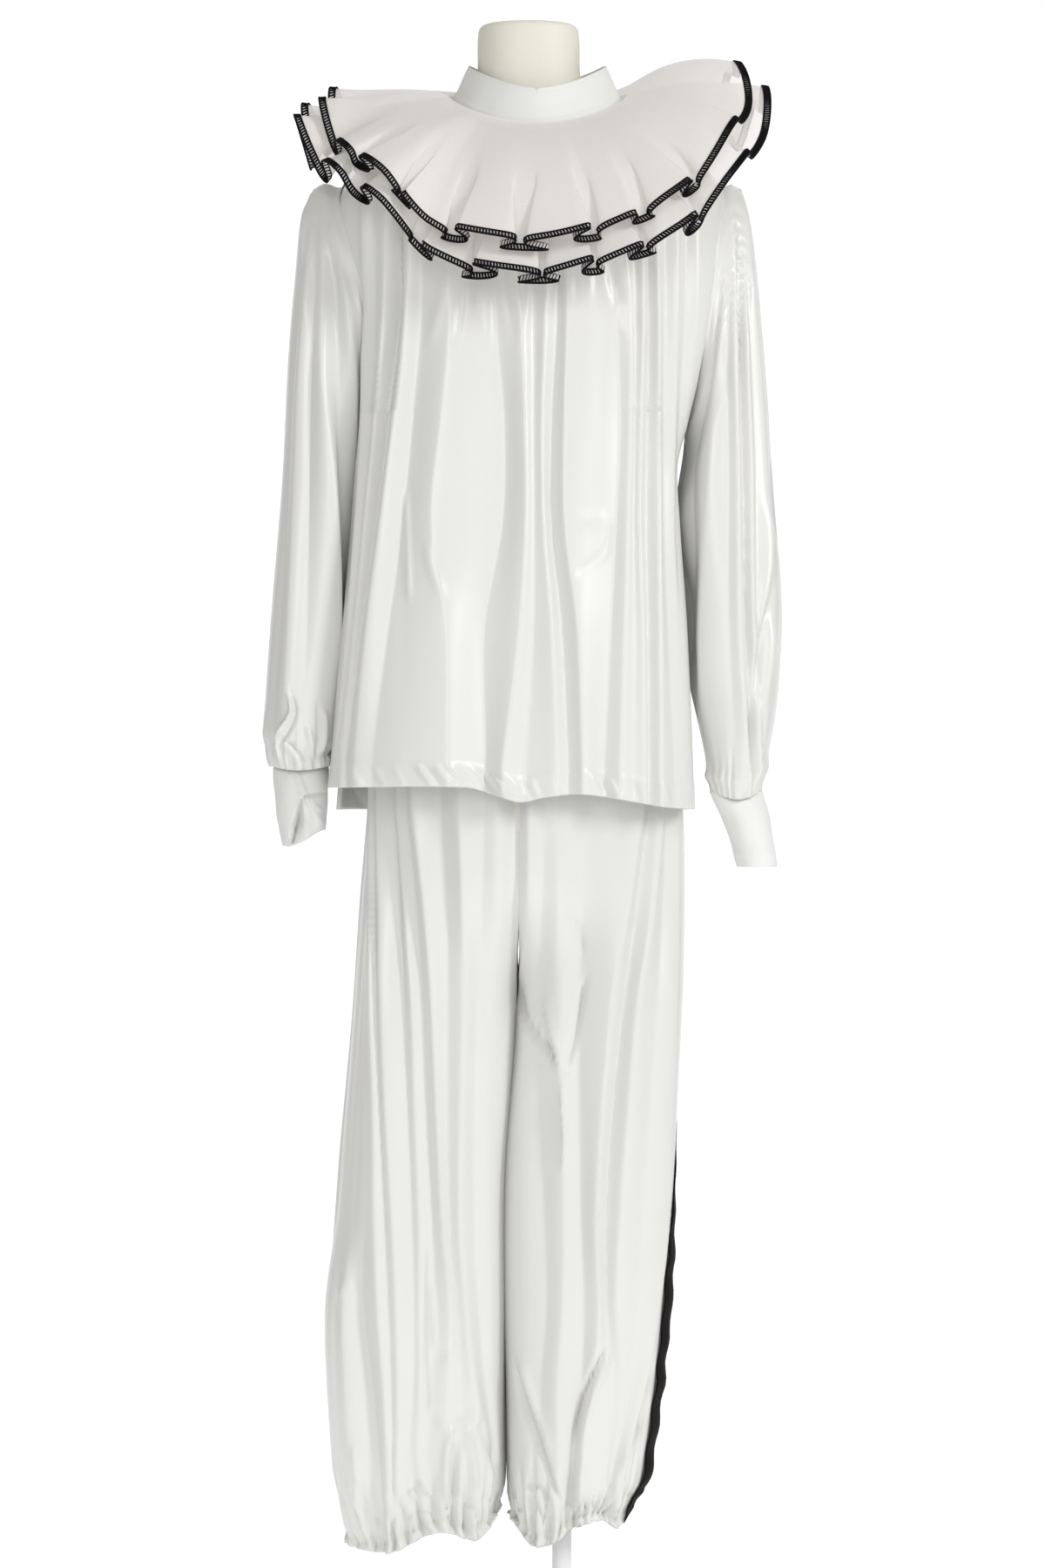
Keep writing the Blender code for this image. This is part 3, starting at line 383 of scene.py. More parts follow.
class Pulls:
    """Short creases, each a smooth path that fades at both ends."""
    STEPS, REACH = 12, 2.5

    def __init__(self, pulls):
        self.paths = []
        for rise, spread, *points in pulls:
            stops = [(float(k), x * MM, z * MM) for k, (x, z) in enumerate(points)]
            path = [smooth_at(stops, (len(stops) - 1) * k / self.STEPS)[1:] for k in range(self.STEPS + 1)]
            reach = self.REACH * spread * MM
            box = []
            for places in zip(*path):
                box += [min(places) - reach, max(places) + reach]
            self.paths.append((path, box, rise * MM, spread * MM))

    def rise(self, x, z):
        total = 0.0
        for path, (left, right, low, high), rise, spread in self.paths:
            if not (left < x < right and low < z < high):
                continue
            nearest, place = 1.0, 0.0
            for k in range(len(path) - 1):
                (ax, az), (bx, bz) = path[k], path[k + 1]
                dx, dz = bx - ax, bz - az
                t = min(max(((x - ax) * dx + (z - az) * dz) / (dx * dx + dz * dz), 0.0), 1.0)
                away = math.hypot(x - ax - t * dx, z - az - t * dz)
                if away < nearest:
                    nearest, place = away, (k + t) / (len(path) - 1)
            total += rise * bell(nearest, 0.0, spread) * ease(0.0, 0.2, place) * ease(1.0, 0.8, place)
        return total


FOLD_LEVELS = {
    "tunic": (1384, 1293, 1193, 1094, 994, 862),
    "leg": (820, 728, 637, 528, 428, 345, 261, 178),
    "sleeve": (1389, 1322, 1238, 1146, 1062, 979, 904, 866),
}
FOLD_LINES = {
    "tunic_front": (
        ((-161, -160, -161.5, -166.5, -174, -185.5), (-2, -2, -2, -1, 0, 0)),
        ((-154, -153.5, -155, -161, -169, -182.5), (4, 4, 3, 3, 2, 0)),
        ((-145, -145, -148.5, -156.5, -166, -179), (-3, -2, -2, -1, -1, 0)),
        ((-131, -134.5, -143.5, -153.5, -163.5, -176.5), (5, 4, 3, 2, 1, 1)),
        ((-121, -125, -136, -148.5, -161, -173.5), (-13, -13, -12, -11, -9, -5)),
        ((-112, -113.5, -123.5, -135, -147, -160), (5, 6, 7, 8, 8, 5)),
        ((-98.5, -98.5, -107, -117, -130, -145), (1, -1, -2, -3, -3, -1)),
        ((-79, -71.5, -79.5, -88.5, -74.5, -73), (4, 6, 8, 9, 8, 9)),
        ((-34, -29, -20, -21.5, -39, -37.5), (-2, -4, -6, -7, -8, -8)),
        ((-15, -4, 0, 1, -5, -21.5), (3, 4, 6, 7, 6, 6)),
        ((-2.5, 7.5, 8, 8, 7.5, 0), (-2, -2, 0, 1, -1, -4)),
        ((17.5, 19, 16.5, 18, 25.5, 30.5), (3, 4, 5, 6, 5, 3)),
        ((29, 30.5, 25.5, 25.5, 34.5, 41.5), (-2, -3, -5, -6, -7, -7)),
        ((39, 39.5, 37, 37, 49.5, 54.5), (3, 4, 5, 5, 5, 4)),
        ((72, 85.5, 90.5, 87, 82, 75.5), (-2, -3, -4, -5, -6, -7)),
        ((92, 100, 101, 98.5, 95, 90.5), (1, 2, 2, 2, 2, 2)),
        ((103.5, 106, 104.5, 103.5, 104.5, 103.5), (-3, -2, -2, -2, -2, -2)),
        ((111, 112.5, 110, 108.5, 112, 113.5), (3, 3, 3, 3, 3, 3)),
        ((117.5, 119.5, 118.5, 117.5, 118.5, 118.5), (-4, -5, -5, -5, -5, -4)),
        ((124, 126, 125, 124, 125, 126), (6, 6, 7, 8, 8, 8)),
        ((134, 135, 133.5, 134, 137.5, 142.5), (-3, -4, -4, -3, -2, -1)),
        ((145, 144, 141.5, 141.5, 146.5, 150), (3, 3, 3, 2, 0, 0)),
        ((155, 155, 149, 145, 150, 153.5), (-3, -4, -3, -1, 0, 0)),
        ((164, 163, 155, 148.5, 152.5, 156.5), (3, 3, 1, 0, 0, 0)),
    ),
    "tunic_back": (
        ((-150, -148, -150, -158, -166, -178), FLAT),
        ((-128, -126, -134, -142, -150, -160), (3, 4, 5, 6, 7, 8)),
        ((-112, -108, -112, -120, -128, -136), (-4, -5, -6, -6, -7, -7)),
        ((-92, -86, -88, -96, -100, -108), (2, 4, 6, 7, 8, 9)),
        ((-70, -62, -60, -64, -68, -76), (-2, -3, -4, -5, -6, -8)),
        ((-52, -48, -46, -46, -48, -54), (3, 4, 4, 4, 4, 5)),
        ((-30, -30, -34, -32, -34, -38), (-3, -4, -5, -6, -6, -7)),
        ((-12, -12, -14, -14, -16, -18), (2, 3, 4, 6, 8, 10)),
        ((6, 6, 6, 4, 2, 0), (-2, -2, -3, -3, -4, -5)),
        ((26, 26, 28, 28, 30, 30), (3, 4, 5, 6, 7, 8)),
        ((44, 46, 48, 50, 52, 54), (-3, -4, -5, -6, -7, -8)),
        ((62, 66, 70, 72, 74, 78), (2, 3, 5, 6, 7, 8)),
        ((86, 90, 88, 90, 92, 96), (-4, -5, -5, -5, -5, -6)),
        ((104, 108, 106, 108, 112, 116), (3, 4, 4, 5, 6, 7)),
        ((128, 128, 122, 124, 128, 134), (-4, -4, -3, -3, -4, -4)),
        ((150, 146, 138, 140, 142, 150), (2, 2, 1, 0, 0, 0)),
    ),
    "leg_front_left": (
        ((-152, -157.5, -165, -175, -183.5, -187.5, -187.5, -182.5), (-4, -5, -6, -7, -7, 0, 0, 0)),
        ((-150.5, -153.5, -157.5, -162, -167, -171, -168.5, -164.5), (-1, -1, -2, -3, -3, 8, 9, 7)),
        ((-149, -151, -152, -152, -154.5, -157, -147, -139.5), (2, 2, 2, 2, 2, -5, -6, -5)),
        ((-147.5, -147.5, -146, -142.5, -142, -140, -134.5, -131), (5, 6, 7, 8, 8, 7, 6, 5)),
        ((-144.5, -143.5, -142, -137.5, -133.5, -131, -127.5, -127), (-1, -1, 0, 1, 1, 0, 0, 0)),
        ((-141, -139.5, -137.5, -133.5, -127.5, -123.5, -122, -123.5), (4, 5, 5, 6, 6, 5, 4, 3)),
        ((-128.5, -122, -116, -112, -108.5, -107, -107.5, -114.5), (-7, -7, -6, -4, -4, -4, -3, -2)),
        ((-123.5, -117, -110, -106, -102, -99.5, -101, -106), (1, 1, 1, 1, 1, 0, 0, 0)),
        ((-114.5, -104.5, -97.5, -92.5, -88.5, -87, -89.5, -96), (-3, -3, -3, -4, -4, -4, -3, -2)),
        ((-106, -96, -90, -85, -79.5, -72, -74.5, -81), (7, 7, 6, 6, 6, 6, 2, 1)),
        ((-82, -75, -74.5, -74.5, -72, -65, -61, -61), (-5, -5, -4, -4, -3, -2, -1, -1)),
        ((-62, -59.5, -60, -62.5, -64.5, -59.5, -50, -31), (6, 6, 6, 6, 6, 6, 6, 4)),
        ((-39, -41, -44, -47.5, -47.5, -43.5, -36, -26), (0, -1, -3, -4, -4, -4, -4, -2)),
        ((-24, -26, -34, -36, -35, -34, -31, -23.5), (3, 2, 1, 1, 1, 1, 0, 0)),
    ),
    "leg_front_right": (
        ((-1.5, -1, 2.5, -1.5, -1, -1.5, -4, -2.5), (5, 5, 3, 5, 5, 4, 2, 1)),
        ((18.5, 16, 13.5, 14, 17.5, 20, 14, 16), (-2, -2, 0, -3, -3, -3, -3, -2)),
        ((31.5, 31.5, 31.5, 36.5, 37.5, 36, 31, 31), (0, 3, 3, 3, 3, 3, 2, 1)),
        ((61, 56, 51.5, 51, 54, 56, 53.5, 45), (-4, -4, -4, -4, -4, -3, -6, -8)),
        ((109, 96.5, 83.5, 74, 69, 71, 64, 52.5), (8, 9, 9, 9, 8, 6, 3, 3)),
        ((121, 110, 96.5, 85, 79, 79, 86.5, 80), (-6, -8, -8, -8, -7, -6, -4, -4)),
        ((129, 121, 106.5, 97.5, 90, 87.5, 94, 81.5), (5, 6, 6, 6, 4, 1, -1, -2)),
        ((137.5, 134, 128.5, 121, 114, 109, 101.5, 83.5), (-2, -3, -3, -3, -3, -2, -3, -2)),
        ((146.5, 147.5, 145, 141.5, 136, 126.5, 111.5, 87.5), (2, 3, 4, 4, 5, 5, 5, 4)),
        ((149, 149, 146.5, 143.5, 138.5, 131, 117.5, 98.5), (0, 0, 0, 0, 0, -1, -3, -3)),
    ),
    "leg_back_left": (
        ((-146, -152, -158, -166, -172, -178, -178, -172), FLAT),
        ((-132, -136, -140, -146, -150, -154, -154, -150), (4, 5, 6, 6, 6, 6, 6, 4)),
        ((-116, -118, -122, -128, -130, -134, -132, -128), (-5, -6, -6, -6, -6, -5, -5, -4)),
        ((-98, -100, -104, -108, -112, -110, -108, -106), (4, 5, 6, 6, 5, 5, 5, 4)),
        ((-80, -84, -88, -92, -94, -92, -90, -88), (-4, -5, -5, -5, -5, -5, -5, -4)),
        ((-62, -66, -72, -74, -72, -70, -70, -68), (4, 5, 5, 6, 6, 6, 5, 3)),
        ((-42, -46, -52, -56, -54, -52, -50, -50), (-3, -4, -5, -5, -5, -5, -4, -3)),
        ((-22, -26, -34, -40, -38, -36, -34, -32), (2, 3, 3, 3, 3, 3, 3, 2)),
    ),
    "leg_back_right": (
        ((20, 22, 24, 26, 26, 24, 24, 26), (2, 3, 3, 3, 3, 3, 3, 2)),
        ((40, 42, 42, 44, 44, 42, 42, 44), (-4, -4, -5, -5, -5, -5, -4, -3)),
        ((58, 62, 64, 64, 62, 60, 58, 58), (4, 5, 5, 6, 6, 6, 5, 3)),
        ((78, 80, 82, 80, 78, 74, 70, 68), (-4, -5, -5, -5, -5, -5, -5, -4)),
        ((96, 98, 98, 96, 92, 88, 84, 78), (4, 5, 6, 6, 5, 5, 5, 4)),
        ((112, 114, 114, 112, 106, 102, 96, 88), (-5, -6, -6, -6, -6, -5, -5, -4)),
        ((130, 132, 130, 126, 120, 116, 108, 96), (4, 5, 6, 6, 6, 6, 6, 4)),
        ((146, 146, 144, 140, 134, 128, 120, 106), FLAT),
    ),
    "sleeve_front_left": (
        ((-215, -223.5, -229, -233.5, -238.5, -245, -250, -247), FLAT),
        ((-210, -218.5, -225, -228.5, -232.5, -238.5, -243.5, -240), (2, 2, 2, 2, 2, 2, 2, 1)),
        ((-205, -211, -217.5, -221, -224, -227.5, -231.5, -232.5), (-2, -2, -2, -2, -2, -2, -2, -1)),
        ((-200, -202.5, -207.5, -208.5, -209, -210, -213.5, -218.5), (2, 3, 5, 5, 5, 4, 2, 1)),
        ((-195, -195, -194, -187.5, -184, -184, -185.5, -191.5), (-3, -4, -6, -9, -9, -8, -5, -2)),
        ((-190, -183, -178, -175.5, -174, -176.5, -180.5, -188), (3, 5, 7, 6, 5, 3, 1, 0)),
        ((-183, -174, -166.5, -166.5, -168, -171.5, -177.5, -185), (-3, -4, -4, -3, -2, 0, 0, 0)),
        ((-176.5, -165.5, -159, -159, -161.5, -168, -175.5, -183), FLAT),
    ),
    "sleeve_front_right": (
        ((195, 186.5, 175, 146.5, 148, 152, 164.5, 171.5), FLAT),
        ((196.5, 189, 179, 156.5, 157, 158, 167, 173), (-1, -2, -4, -9, -9, -7, -1, 0)),
        ((198, 192.5, 184, 177.5, 174, 170.5, 171.5, 177.5), (2, 3, 4, 5, 5, 4, 1, 0)),
        ((200, 196.5, 195, 195, 195, 196.5, 200, 203), FLAT),
        ((202.5, 201.5, 202.5, 204, 205, 206.5, 211.5, 215), (4, 5, 5, 5, 5, 4, 4, 3)),
        ((205, 206.5, 208, 210.5, 211.5, 213, 217.5, 220), (-4, -5, -6, -6, -6, -5, -4, -3)),
        ((207.5, 210.5, 213, 216, 216.5, 218.5, 221.5, 223.5), (3, 4, 4, 4, 4, 4, 3, 2)),
        ((208.5, 215, 220, 222.5, 223.5, 224, 226, 225), (-1, -2, -3, -3, -3, -2, -1, 0)),
        ((210, 218.5, 226, 230, 233.5, 233.5, 230, 226.5), (1, 2, 3, 4, 4, 3, 2, 1)),
        ((212.5, 223.5, 231.5, 238.5, 244, 246.5, 238.5, 230), FLAT),
    ),
    "sleeve_back_left": (
        ((-210, -218, -224, -228, -232, -238, -242, -238), FLAT),
        ((-204, -208, -212, -214, -216, -219, -224, -224), (3, 4, 5, 5, 5, 4, 3, 2)),
        ((-194, -198, -200, -200, -202, -205, -210, -212), (-4, -5, -6, -7, -6, -6, -4, -3)),
        ((-184, -184, -186, -186, -188, -192, -197, -201), (3, 5, 6, 6, 6, 5, 3, 2)),
        ((-176, -172, -170, -172, -176, -181, -188, -194), (-3, -4, -5, -5, -4, -4, -2, -1)),
        ((-168, -162, -160, -162, -168, -175, -183, -189), FLAT),
    ),
    "sleeve_back_right": (
        ((190, 182, 172, 160, 162, 166, 172, 180), FLAT),
        ((194, 190, 184, 176, 176, 178, 182, 188), (-3, -4, -5, -6, -5, -4, -2, -1)),
        ((199, 198, 196, 192, 192, 194, 194, 198), (3, 5, 6, 6, 6, 5, 3, 2)),
        ((204, 206, 208, 208, 208, 208, 208, 208), (-4, -5, -6, -7, -6, -6, -4, -3)),
        ((208, 214, 218, 222, 224, 224, 220, 218), (3, 4, 5, 5, 5, 4, 3, 2)),
        ((212, 222, 228, 234, 238, 240, 232, 226), FLAT),
    ),
}
# A short crease: its rise and half width, then the points (x and z) that it runs through, in millimetres.
PULL_LINES = {
    "tunic_front": (
        (2.1, 3.1, (-114.5, 1130), (-112, 1077), (-109.5, 1009)),
        (-2.1, 4.4, (-59.5, 1342), (-60.5, 1305), (-65.5, 1259)),
        (-1.8, 3.8, (-47.5, 1342), (-48, 1301)),
        (1.8, 4.4, (-34, 1338), (-35.5, 1301), (-33, 1259)),
        (-2.1, 3.8, (-22.5, 1342), (-16, 1305), (-7.5, 1268)),
        (1.8, 3.8, (2.5, 1342), (3.5, 1309), (1, 1276)),
        (2.1, 3.1, (22.5, 1342), (22.5, 1317), (20, 1293)),
        (-1.8, 3.1, (31.5, 1342), (33, 1313)),
        (-1.8, 3.8, (48, 1342), (49, 1305)),
        (1.4, 3.8, (62, 1342), (60.5, 1309)),
        (-3.5, 5, (78.5, 1342), (90.5, 1305), (111, 1278)),
        (1.8, 5, (72, 1342), (80.5, 1313), (98.5, 1283)),
        (1.8, 6.2, (-69, 1342), (-79, 1305), (-92, 1259)),
        (1.1, 3.8, (34.5, 1094), (57, 1097), (80.5, 1097)),
        (-1.5, 3.8, (80.5, 1094), (78.5, 1069), (60.5, 1052), (43, 1042)),
        (1.8, 4.4, (-93.5, 1077), (-87, 1044), (-75.5, 1017)),
    ),
    "leg_front_left": (
        (3.5, 2.5, (-88.5, 370), (-87.5, 328), (-86, 303)),
        (-4, 2.1, (-86, 298), (-76, 299), (-67, 306)),
        (-4, 2.5, (-96, 428), (-97, 345), (-95, 261), (-92.5, 240)),
        (-5, 3, (-94.5, 236), (-73.5, 233), (-47.5, 237)),
        (3, 4.5, (-179, 351), (-170, 358), (-158, 350)),
        (5.5, 3, (-76, 149), (-77, 186), (-74.5, 213), (-67.5, 227)),
        (5.5, 3, (-67.5, 227), (-56.5, 220), (-51, 195), (-47.5, 161)),
        (-7, 3.4, (-66, 149), (-66, 186), (-65, 211)),
        (-5, 3, (-47.5, 237), (-39, 211), (-24, 173)),
        (3.5, 2.1, (-159.5, 145), (-159.5, 178), (-162, 211)),
        (4, 2.1, (-102.5, 178), (-94.5, 165), (-86, 160)),
        (4, 2.1, (-111, 168), (-104.5, 155)),
    ),
    "leg_front_right": (
        (-7, 2.5, (-5, 662), (1, 624), (11, 603), (23.5, 592), (35, 563)),
        (4, 3.4, (16, 641), (26.5, 603), (35, 565)),
        (-5, 3, (56, 662), (49, 616), (36.5, 565)),
        (4, 2.1, (35, 560), (37.5, 511), (37.5, 474)),
        (-7, 2.1, (84, 307), (72.5, 295), (61, 270), (50, 236), (45, 207)),
        (5.5, 3.4, (86, 298), (76, 285), (66, 261), (56, 228), (51, 186)),
        (-5.5, 2.5, (-10, 293), (2.5, 243), (21, 188), (36, 146)),
        (4, 3.4, (-4, 295), (9, 243), (27.5, 195)),
        (-3, 3, (31, 728), (47.5, 712), (57.5, 678)),
        (5, 2.5, (115, 228), (101, 211), (92.5, 186), (97.5, 155)),
        (-4, 2.5, (-2.5, 165), (11, 168), (22.5, 155)),
    ),
    "cuff_left": (
        (2.2, 1.8, (-222, 866), (-216.5, 850), (-211, 834), (-209, 820)),
        (-1.8, 2.2, (-226.5, 864), (-221.5, 849), (-216, 836)),
        (1.2, 1.8, (-208, 834), (-203, 822), (-196, 812)),
    ),
    "sleeve_front_left": (
        (-3, 2, (-186.5, 1417), (-185, 1360), (-171.5, 1322), (-162.5, 1292)),
        (2.5, 2, (-182.5, 1417), (-180, 1360), (-166.5, 1323)),
        (-7, 1.7, (-229.5, 938), (-223.5, 918), (-230, 902), (-237.5, 888), (-236, 874), (-230, 862)),
        (5, 1.9, (-226.5, 936), (-219.5, 916), (-225.5, 900), (-234, 888), (-231, 874)),
        (4.5, 1.7, (-236, 891), (-223.5, 885), (-214, 873), (-209.5, 856)),
        (-4, 2.4, (-230, 882), (-219, 872), (-213.5, 856)),
        (-3, 2.2, (-210, 904), (-205, 883), (-202.5, 867)),
        (2.5, 2, (-200, 929), (-199, 895), (-200, 873)),
        (-4, 2.2, (-196, 920), (-196, 891), (-197.5, 873)),
        (2.5, 1.8, (-191.5, 870), (-187.5, 878), (-185, 887)),
    ),
    "sleeve_front_right": (
        (-6, 3.5, (235, 1205), (241, 1104), (239, 1050), (231.5, 1004), (222.5, 958), (218.5, 904),
         (220, 862)),
        (3, 3.5, (230, 1129), (233.5, 1062), (226.5, 1008), (220, 962)),
        (3.5, 4, (241.5, 1012), (233.5, 962), (225, 912), (225, 862)),
        (-4, 1.8, (213, 929), (216.5, 887), (220, 853), (222.5, 838)),
        (3, 1.8, (225, 887), (223.5, 862), (218.5, 841)),
    ),
}
FOLDS = {name: Folds(FOLD_LEVELS[name.split("_")[0]], lines) for name, lines in FOLD_LINES.items()}
PULLS = {name: Pulls(pulls) for name, pulls in PULL_LINES.items()}


def lifted(name, x, z):
    """How far a panel's folds and pulls lift it at x, z."""
    return FOLDS[name].rise(x, z) + (PULLS[name].rise(x, z) if name in PULLS else 0.0)


# ---- finishes -------------------------------------------------------------------------------------
class Value:
    """A node's output, which sums like a number."""

    def __init__(self, nodes, socket):
        self.nodes, self.socket = nodes, socket

    def sum(self, operation, first, second):
        return self.nodes.node("ShaderNodeMath", {"operation": operation}, {0: first, 1: second})

    def __add__(self, other):
        return self.sum("ADD", self, other)

    def __mul__(self, other):
        return self.sum("MULTIPLY", self, other)

    def __rsub__(self, other):
        return self.sum("SUBTRACT", other, self)

    __radd__ = __add__


class Nodes:
    """A node tree that is written a node at a time."""

    def __init__(self, tree):
        self.tree = tree

    def put(self, socket, value):
        if isinstance(value, Value):
            self.tree.links.new(value.socket, socket)
        else:
            socket.default_value = value

    def node(self, kind, settings=None, inputs=None, output=0):
        made = self.tree.nodes.new(kind)
        for key, value in (settings or {}).items():
            setattr(made, key, value)
        for key, value in (inputs or {}).items():
            self.put(made.inputs[key], value)
        return Value(self, made.outputs[output])


class Finish(Nodes):
    """A material whose constants sit on the shader's own sockets."""
    MIX_SHARE, MIX_FIRST, MIX_SECOND, MIX_COLOUR = 0, 6, 7, 2

    def __init__(self, name, **constants):
        self.material = bpy.data.materials.new(name)
        self.material.use_nodes = True
        super().__init__(self.material.node_tree)
        self.shader = self.tree.nodes["Principled BSDF"]
        for socket, value in constants.items():
            self.give(socket.replace("_", " "), value)

    def give(self, socket, value):
        self.put(self.shader.inputs[socket], value)

    def place(self, kind, scale=(1.0, 1.0, 1.0)):
        """The piece's own metres (Object) or the cloth's (UV)."""
        where = self.node("ShaderNodeTexCoord", output=kind)
        return self.node("ShaderNodeMapping", None, {"Vector": where, "Scale": scale})

    def patches(self, scale, detail=3.0, stretch=(1.0, 1.0, 1.0)):
        place = self.place("Object", stretch)
        return self.node("ShaderNodeTexNoise", None, {"Vector": place, "Scale": scale, "Detail": detail})

    def threads(self, scale, direction):
        settings = {"wave_type": "BANDS", "bands_direction": direction, "wave_profile": "SIN"}
        return self.node("ShaderNodeTexWave", settings, {"Vector": self.place("UV"), "Scale": scale}, "Fac")

    def tinted(self, patch, low, high):
        """A base colour that drifts between two near ones."""
        inputs = {self.MIX_SHARE: patch, self.MIX_FIRST: (*low, 1.0), self.MIX_SECOND: (*high, 1.0)}
        self.give("Base Color", self.node("ShaderNodeMix", {"data_type": "RGBA"}, inputs, self.MIX_COLOUR))

    def drifting(self, scale, low, high, rough, drift):
        """A base colour and a roughness that drift together over soft patches."""
        patch = self.patches(scale)
        self.tinted(patch, low, high)
        self.give("Roughness", rough + patch * drift)
        return patch

    def relief(self, height, strength, distance):
        inputs = {"Height": height, "Strength": strength, "Distance": distance}
        self.give("Normal", self.node("ShaderNodeBump", None, inputs, "Normal"))


def white_satin():
    finish = Finish("white_satin", Specular_IOR_Level=0.60, Sheen_Weight=0.10, Sheen_Roughness=0.35)
    finish.tinted(finish.patches(6.0), (0.765, 0.765, 0.730), (0.795, 0.795, 0.775))
    streaks = finish.patches(1.0, stretch=(60.0, 60.0, 5.0))
    finish.give("Roughness", 0.27 + streaks * 0.12)
    slubs = finish.patches(1.0, stretch=(900.0, 900.0, 60.0))
    finish.relief(finish.threads(500.0, "X") * 0.4 + slubs, 0.10, 0.00012)
    return finish.material


def plain_cloth():
    finish = Finish("plain_white_cloth", Specular_IOR_Level=0.25, Sheen_Weight=0.10)
    finish.drifting(20.0, (0.84, 0.845, 0.825), (0.88, 0.88, 0.86), 0.72, 0.15)
    finish.relief(finish.threads(320.0, "X") * finish.threads(320.0, "Y"), 0.35, 0.00025)
    return finish.material


def sheer_organza():
    finish = Finish("sheer_organza", Specular_IOR_Level=0.3, Sheen_Weight=0.25, Sheen_Roughness=0.4)
    patch = finish.drifting(9.0, (0.965, 0.93, 0.905), (0.985, 0.96, 0.94), 0.42, 0.1)
    warp, weft = finish.threads(260.0, "X"), finish.threads(260.0, "Y")
    finish.give("Alpha", 0.60 + warp * 0.10 + weft * 0.10 + patch * 0.08)
    finish.relief(warp + weft, 0.15, 0.0001)
    return finish.material


def black_ribbon():
    finish = Finish("black_ribbon", Specular_IOR_Level=0.04)
    finish.drifting(40.0, (0.003, 0.002, 0.002), (0.008, 0.006, 0.005), 0.55, 0.15)
    finish.relief(finish.threads(420.0, "Y"), 0.3, 0.0002)
    return finish.material


def black_thread():
    finish = Finish("black_thread", Specular_IOR_Level=0.05)
    ply = finish.drifting(1500.0, (0.003, 0.003, 0.004), (0.014, 0.014, 0.016), 0.6, 0.2)
    finish.relief(ply, 0.4, 0.0002)
    return finish.material


def cream_cover():
    finish = Finish("cream_cover", Specular_IOR_Level=0.4)
    finish.drifting(14.0, (0.80, 0.785, 0.69), (0.84, 0.825, 0.74), 0.48, 0.15)
    finish.relief(finish.patches(1100.0, 1.0), 0.12, 0.0002)
    return finish.material


def white_painted_steel():
    finish = Finish("white_painted_steel", Specular_IOR_Level=0.5)
    finish.drifting(18.0, (0.93, 0.93, 0.92), (0.95, 0.95, 0.94), 0.34, 0.12)
    finish.relief(finish.patches(900.0, 2.0), 0.2, 0.0002)
    return finish.material


LOOKS = {
    "white_satin": white_satin(), "plain_white_cloth": plain_cloth(), "sheer_organza": sheer_organza(),
    "black_ribbon": black_ribbon(), "black_thread": black_thread(), "cream_cover": cream_cover(),
    "white_painted_steel": white_painted_steel(),
}


# ---- pieces ---------------------------------------------------------------------------------------
OPEN_STEP = 0.02          # how far a row goes on past an open edge, as a share of its last step


def link(name, mesh, look):
    mesh.materials.clear()
    mesh.materials.append(look)
    made = bpy.data.objects.new(name, mesh)
    bpy.context.scene.collection.objects.link(made)
    return made


def shell(name, rows, look, thickness, closed=False):
    """A thin cloth through rows of points, with its own cloth coordinates in metres."""
    bm = bmesh.new()
    lay = bm.loops.layers.uv.new("cloth")
    verts = [[bm.verts.new(p) for p in row] for row in rows]
    across = [sum((b - a).length for a, b in zip(row, row[1:])) / (len(row) - 1) for row in rows]
    along = [0.0]
    for low, high in zip(rows, rows[1:]):
        along.append(along[-1] + (high[len(high) // 2] - low[len(low) // 2]).length)
    steps = len(rows[0]) if closed else len(rows[0]) - 1
    for r in range(len(rows) - 1):
        for i in range(steps):
            j = (i + 1) % len(rows[r])
            face = bm.faces.new((verts[r][i], verts[r][j], verts[r + 1][j], verts[r + 1][i]))
            corners = ((i, r), (i + 1, r), (i + 1, r + 1), (i, r + 1))
            for loop, (column, line) in zip(face.loops, corners):
                loop[lay].uv = (column * across[line], along[line])
    mesh = bpy.data.meshes.new(name)
    bm.to_mesh(mesh)
    bm.free()
    mesh.shade_smooth()
    made = link(name, mesh, look)
    if thickness:
        wall = made.modifiers.new("wall", "SOLIDIFY")
        wall.thickness, wall.offset, wall.use_even_offset = thickness, 0.0, False
    return made


def stand_for(piece, node=None):
    """Fixes a piece to the part, in place of a solid if it has one."""
    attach(piece, "root")
    if node:
        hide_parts(node)


def cloth(name, node, rows, slot, thickness=0.0, closed=False):
    """A shell that stands for a solid."""
    piece = shell(name, rows, LOOKS[slot], thickness, closed)
    stand_for(piece, node)
    return piece


def turned_in(row, starts, ends, deep):
    """A row carried on past its seams, turned in under the next piece, and hardly past an open edge."""
    row = list(row)
    for sewn, at, other in ((starts, 0, 1), (ends, -1, -2)):
        along = row[at] - row[other]
        past = row[at] + along * OPEN_STEP
        if sewn:
            past = row[at] + along.normalized() * ALLOWANCE - facing(along) * (deep if at else -deep)
        row.insert(0 if at == 0 else len(row), past)
    return row


# ---- tunic ----------------------------------------------------------------------------------------
BACK_FULLNESS = 2.3
HEM_LINE = in_mm(
    Place,
    (-190, 841.5), (-55, 841.5), (-27, 833.5), (-4, 827.5), (18, 832), (54, 835), (100, 828.5),
    (128, 823.5), (160, 820.5),
)
HEM_DEPTH = 0.022
